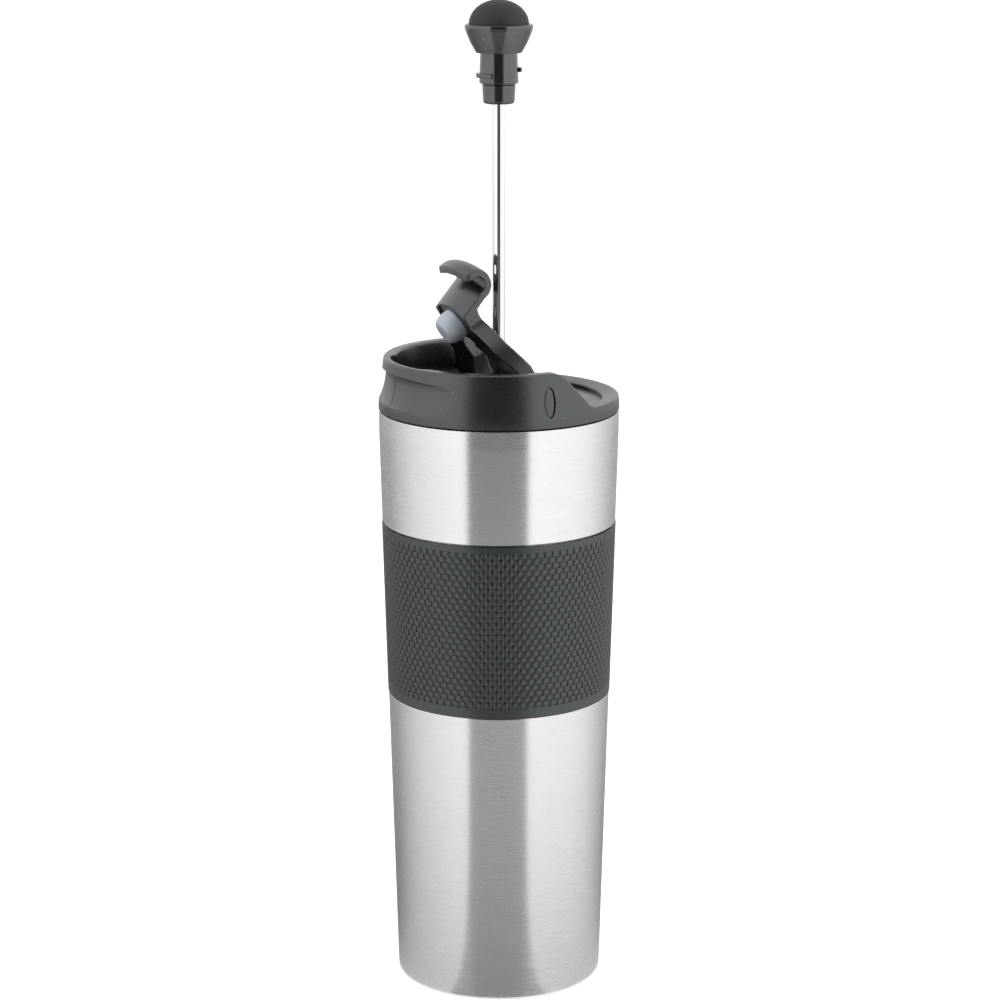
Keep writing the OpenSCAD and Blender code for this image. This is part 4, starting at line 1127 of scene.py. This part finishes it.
class PRESS_OT_studio(bpy.types.Operator):
    """Sets the pale floor, the soft lamps, the plain surroundings and the camera"""

    bl_idname = "press.studio"
    bl_label = "Studio"

    def execute(self, context):
        scene, studio = context.scene, context.scene.press_studio
        s = 8000
        mesh = raw_mesh("floor", [(-s, -s, 0), (s, -s, 0), (s, s, 0), (-s, s, 0)], [(0, 1, 2, 3)])
        made = bpy.data.materials.new("pale_floor")
        tree = bare_tree(made)
        matte = add(tree, "ShaderNodeBsdfDiffuse", {"Color": (0.9, 0.9, 0.9, 1)})
        glow = add(tree, "ShaderNodeEmission", {"Color": WHITE, "Strength": seen_ray(tree) * 0.6})
        both = add(tree, "ShaderNodeAddShader", {0: matte, 1: glow})
        add(tree, "ShaderNodeOutputMaterial", {"Surface": both})
        mesh.materials.append(made)
        placed("floor", mesh)

        scene.world = bpy.data.worlds.new("plain_room")
        tree = bare_tree(scene.world)
        power = seen_ray(tree).ranged(studio.ambient, 1.0, 0.0, 1.0)
        sky = add(tree, "ShaderNodeBackground", {"Color": WHITE, "Strength": power})
        add(tree, "ShaderNodeOutputWorld", {"Surface": sky})

        for name, azimuth in (("soft_box_left", -66), ("soft_box_right", 66)):
            lamp(name, around(azimuth, 0.32, 0.85), (0, 0, 0.15), 0.95, 1.1, studio.soft_box)
        lamp("top_light", Vector((0.05, 0.05, 0.95)), (0, 0, 0.2), 0.7, 0.7, studio.top_light)
        reflection_bowl(studio)

        data = bpy.data.cameras.new("camera")
        data.sensor_width = 36
        data.lens = studio.lens / MM
        data.shift_x = 0.0011
        data.clip_end = 20
        camera = placed("camera", data)
        camera.location = (0.8580, -0.3820, 0.37366)
        camera.rotation_euler = (math.radians(90 - 13.004), 0, math.radians(PHOTO_AZIMUTH))
        scene.camera = camera
        scene.view_settings.view_transform = "Standard"
        return {"FINISHED"}


class PRESS_PT_panel(bpy.types.Panel):
    """Lists the sizes, the colours and the operators"""

    bl_idname = "PRESS_PT_panel"
    bl_label = "French Press"
    bl_space_type = "VIEW_3D"
    bl_region_type = "UI"
    bl_category = "French Press"

    def draw(self, context):
        for name, group in GROUPS.items():
            box = self.layout.box()
            box.label(text=name.replace("press_", "").capitalize())
            for prop in group.__annotations__:
                box.prop(getattr(context.scene, name), prop)
        for operator in OPERATORS:
            self.layout.operator(operator.bl_idname)


GROUPS = {
    "press_cup": CupSizes, "press_grip": GripSizes, "press_collar": CollarSizes, "press_lid": LidSizes,
    "press_knob": KnobSizes, "press_filter": FilterSizes, "press_finishes": Finishes,
    "press_studio": StudioSettings,
}
OPERATORS = (PRESS_OT_cup, PRESS_OT_grip, PRESS_OT_collar, PRESS_OT_lid, PRESS_OT_lever, PRESS_OT_knob,
             PRESS_OT_filter, PRESS_OT_studio)


def register():
    for name, group in GROUPS.items():
        bpy.utils.register_class(group)
        setattr(bpy.types.Scene, name, PointerProperty(type=group))
    for cls in OPERATORS + (PRESS_PT_panel,):
        bpy.utils.register_class(cls)


def unregister():
    for cls in (PRESS_PT_panel,) + OPERATORS[::-1]:
        bpy.utils.unregister_class(cls)
    for name, group in GROUPS.items():
        delattr(bpy.types.Scene, name)
        bpy.utils.unregister_class(group)


def main():
    register()
    bpy.ops.press.cup()
    bpy.ops.press.grip()
    bpy.ops.press.collar()
    bpy.ops.press.lid()
    bpy.ops.press.lever()
    bpy.ops.press.knob()
    bpy.ops.press.filter()
    bpy.ops.press.studio()


if __name__ == "__main__":
    main()
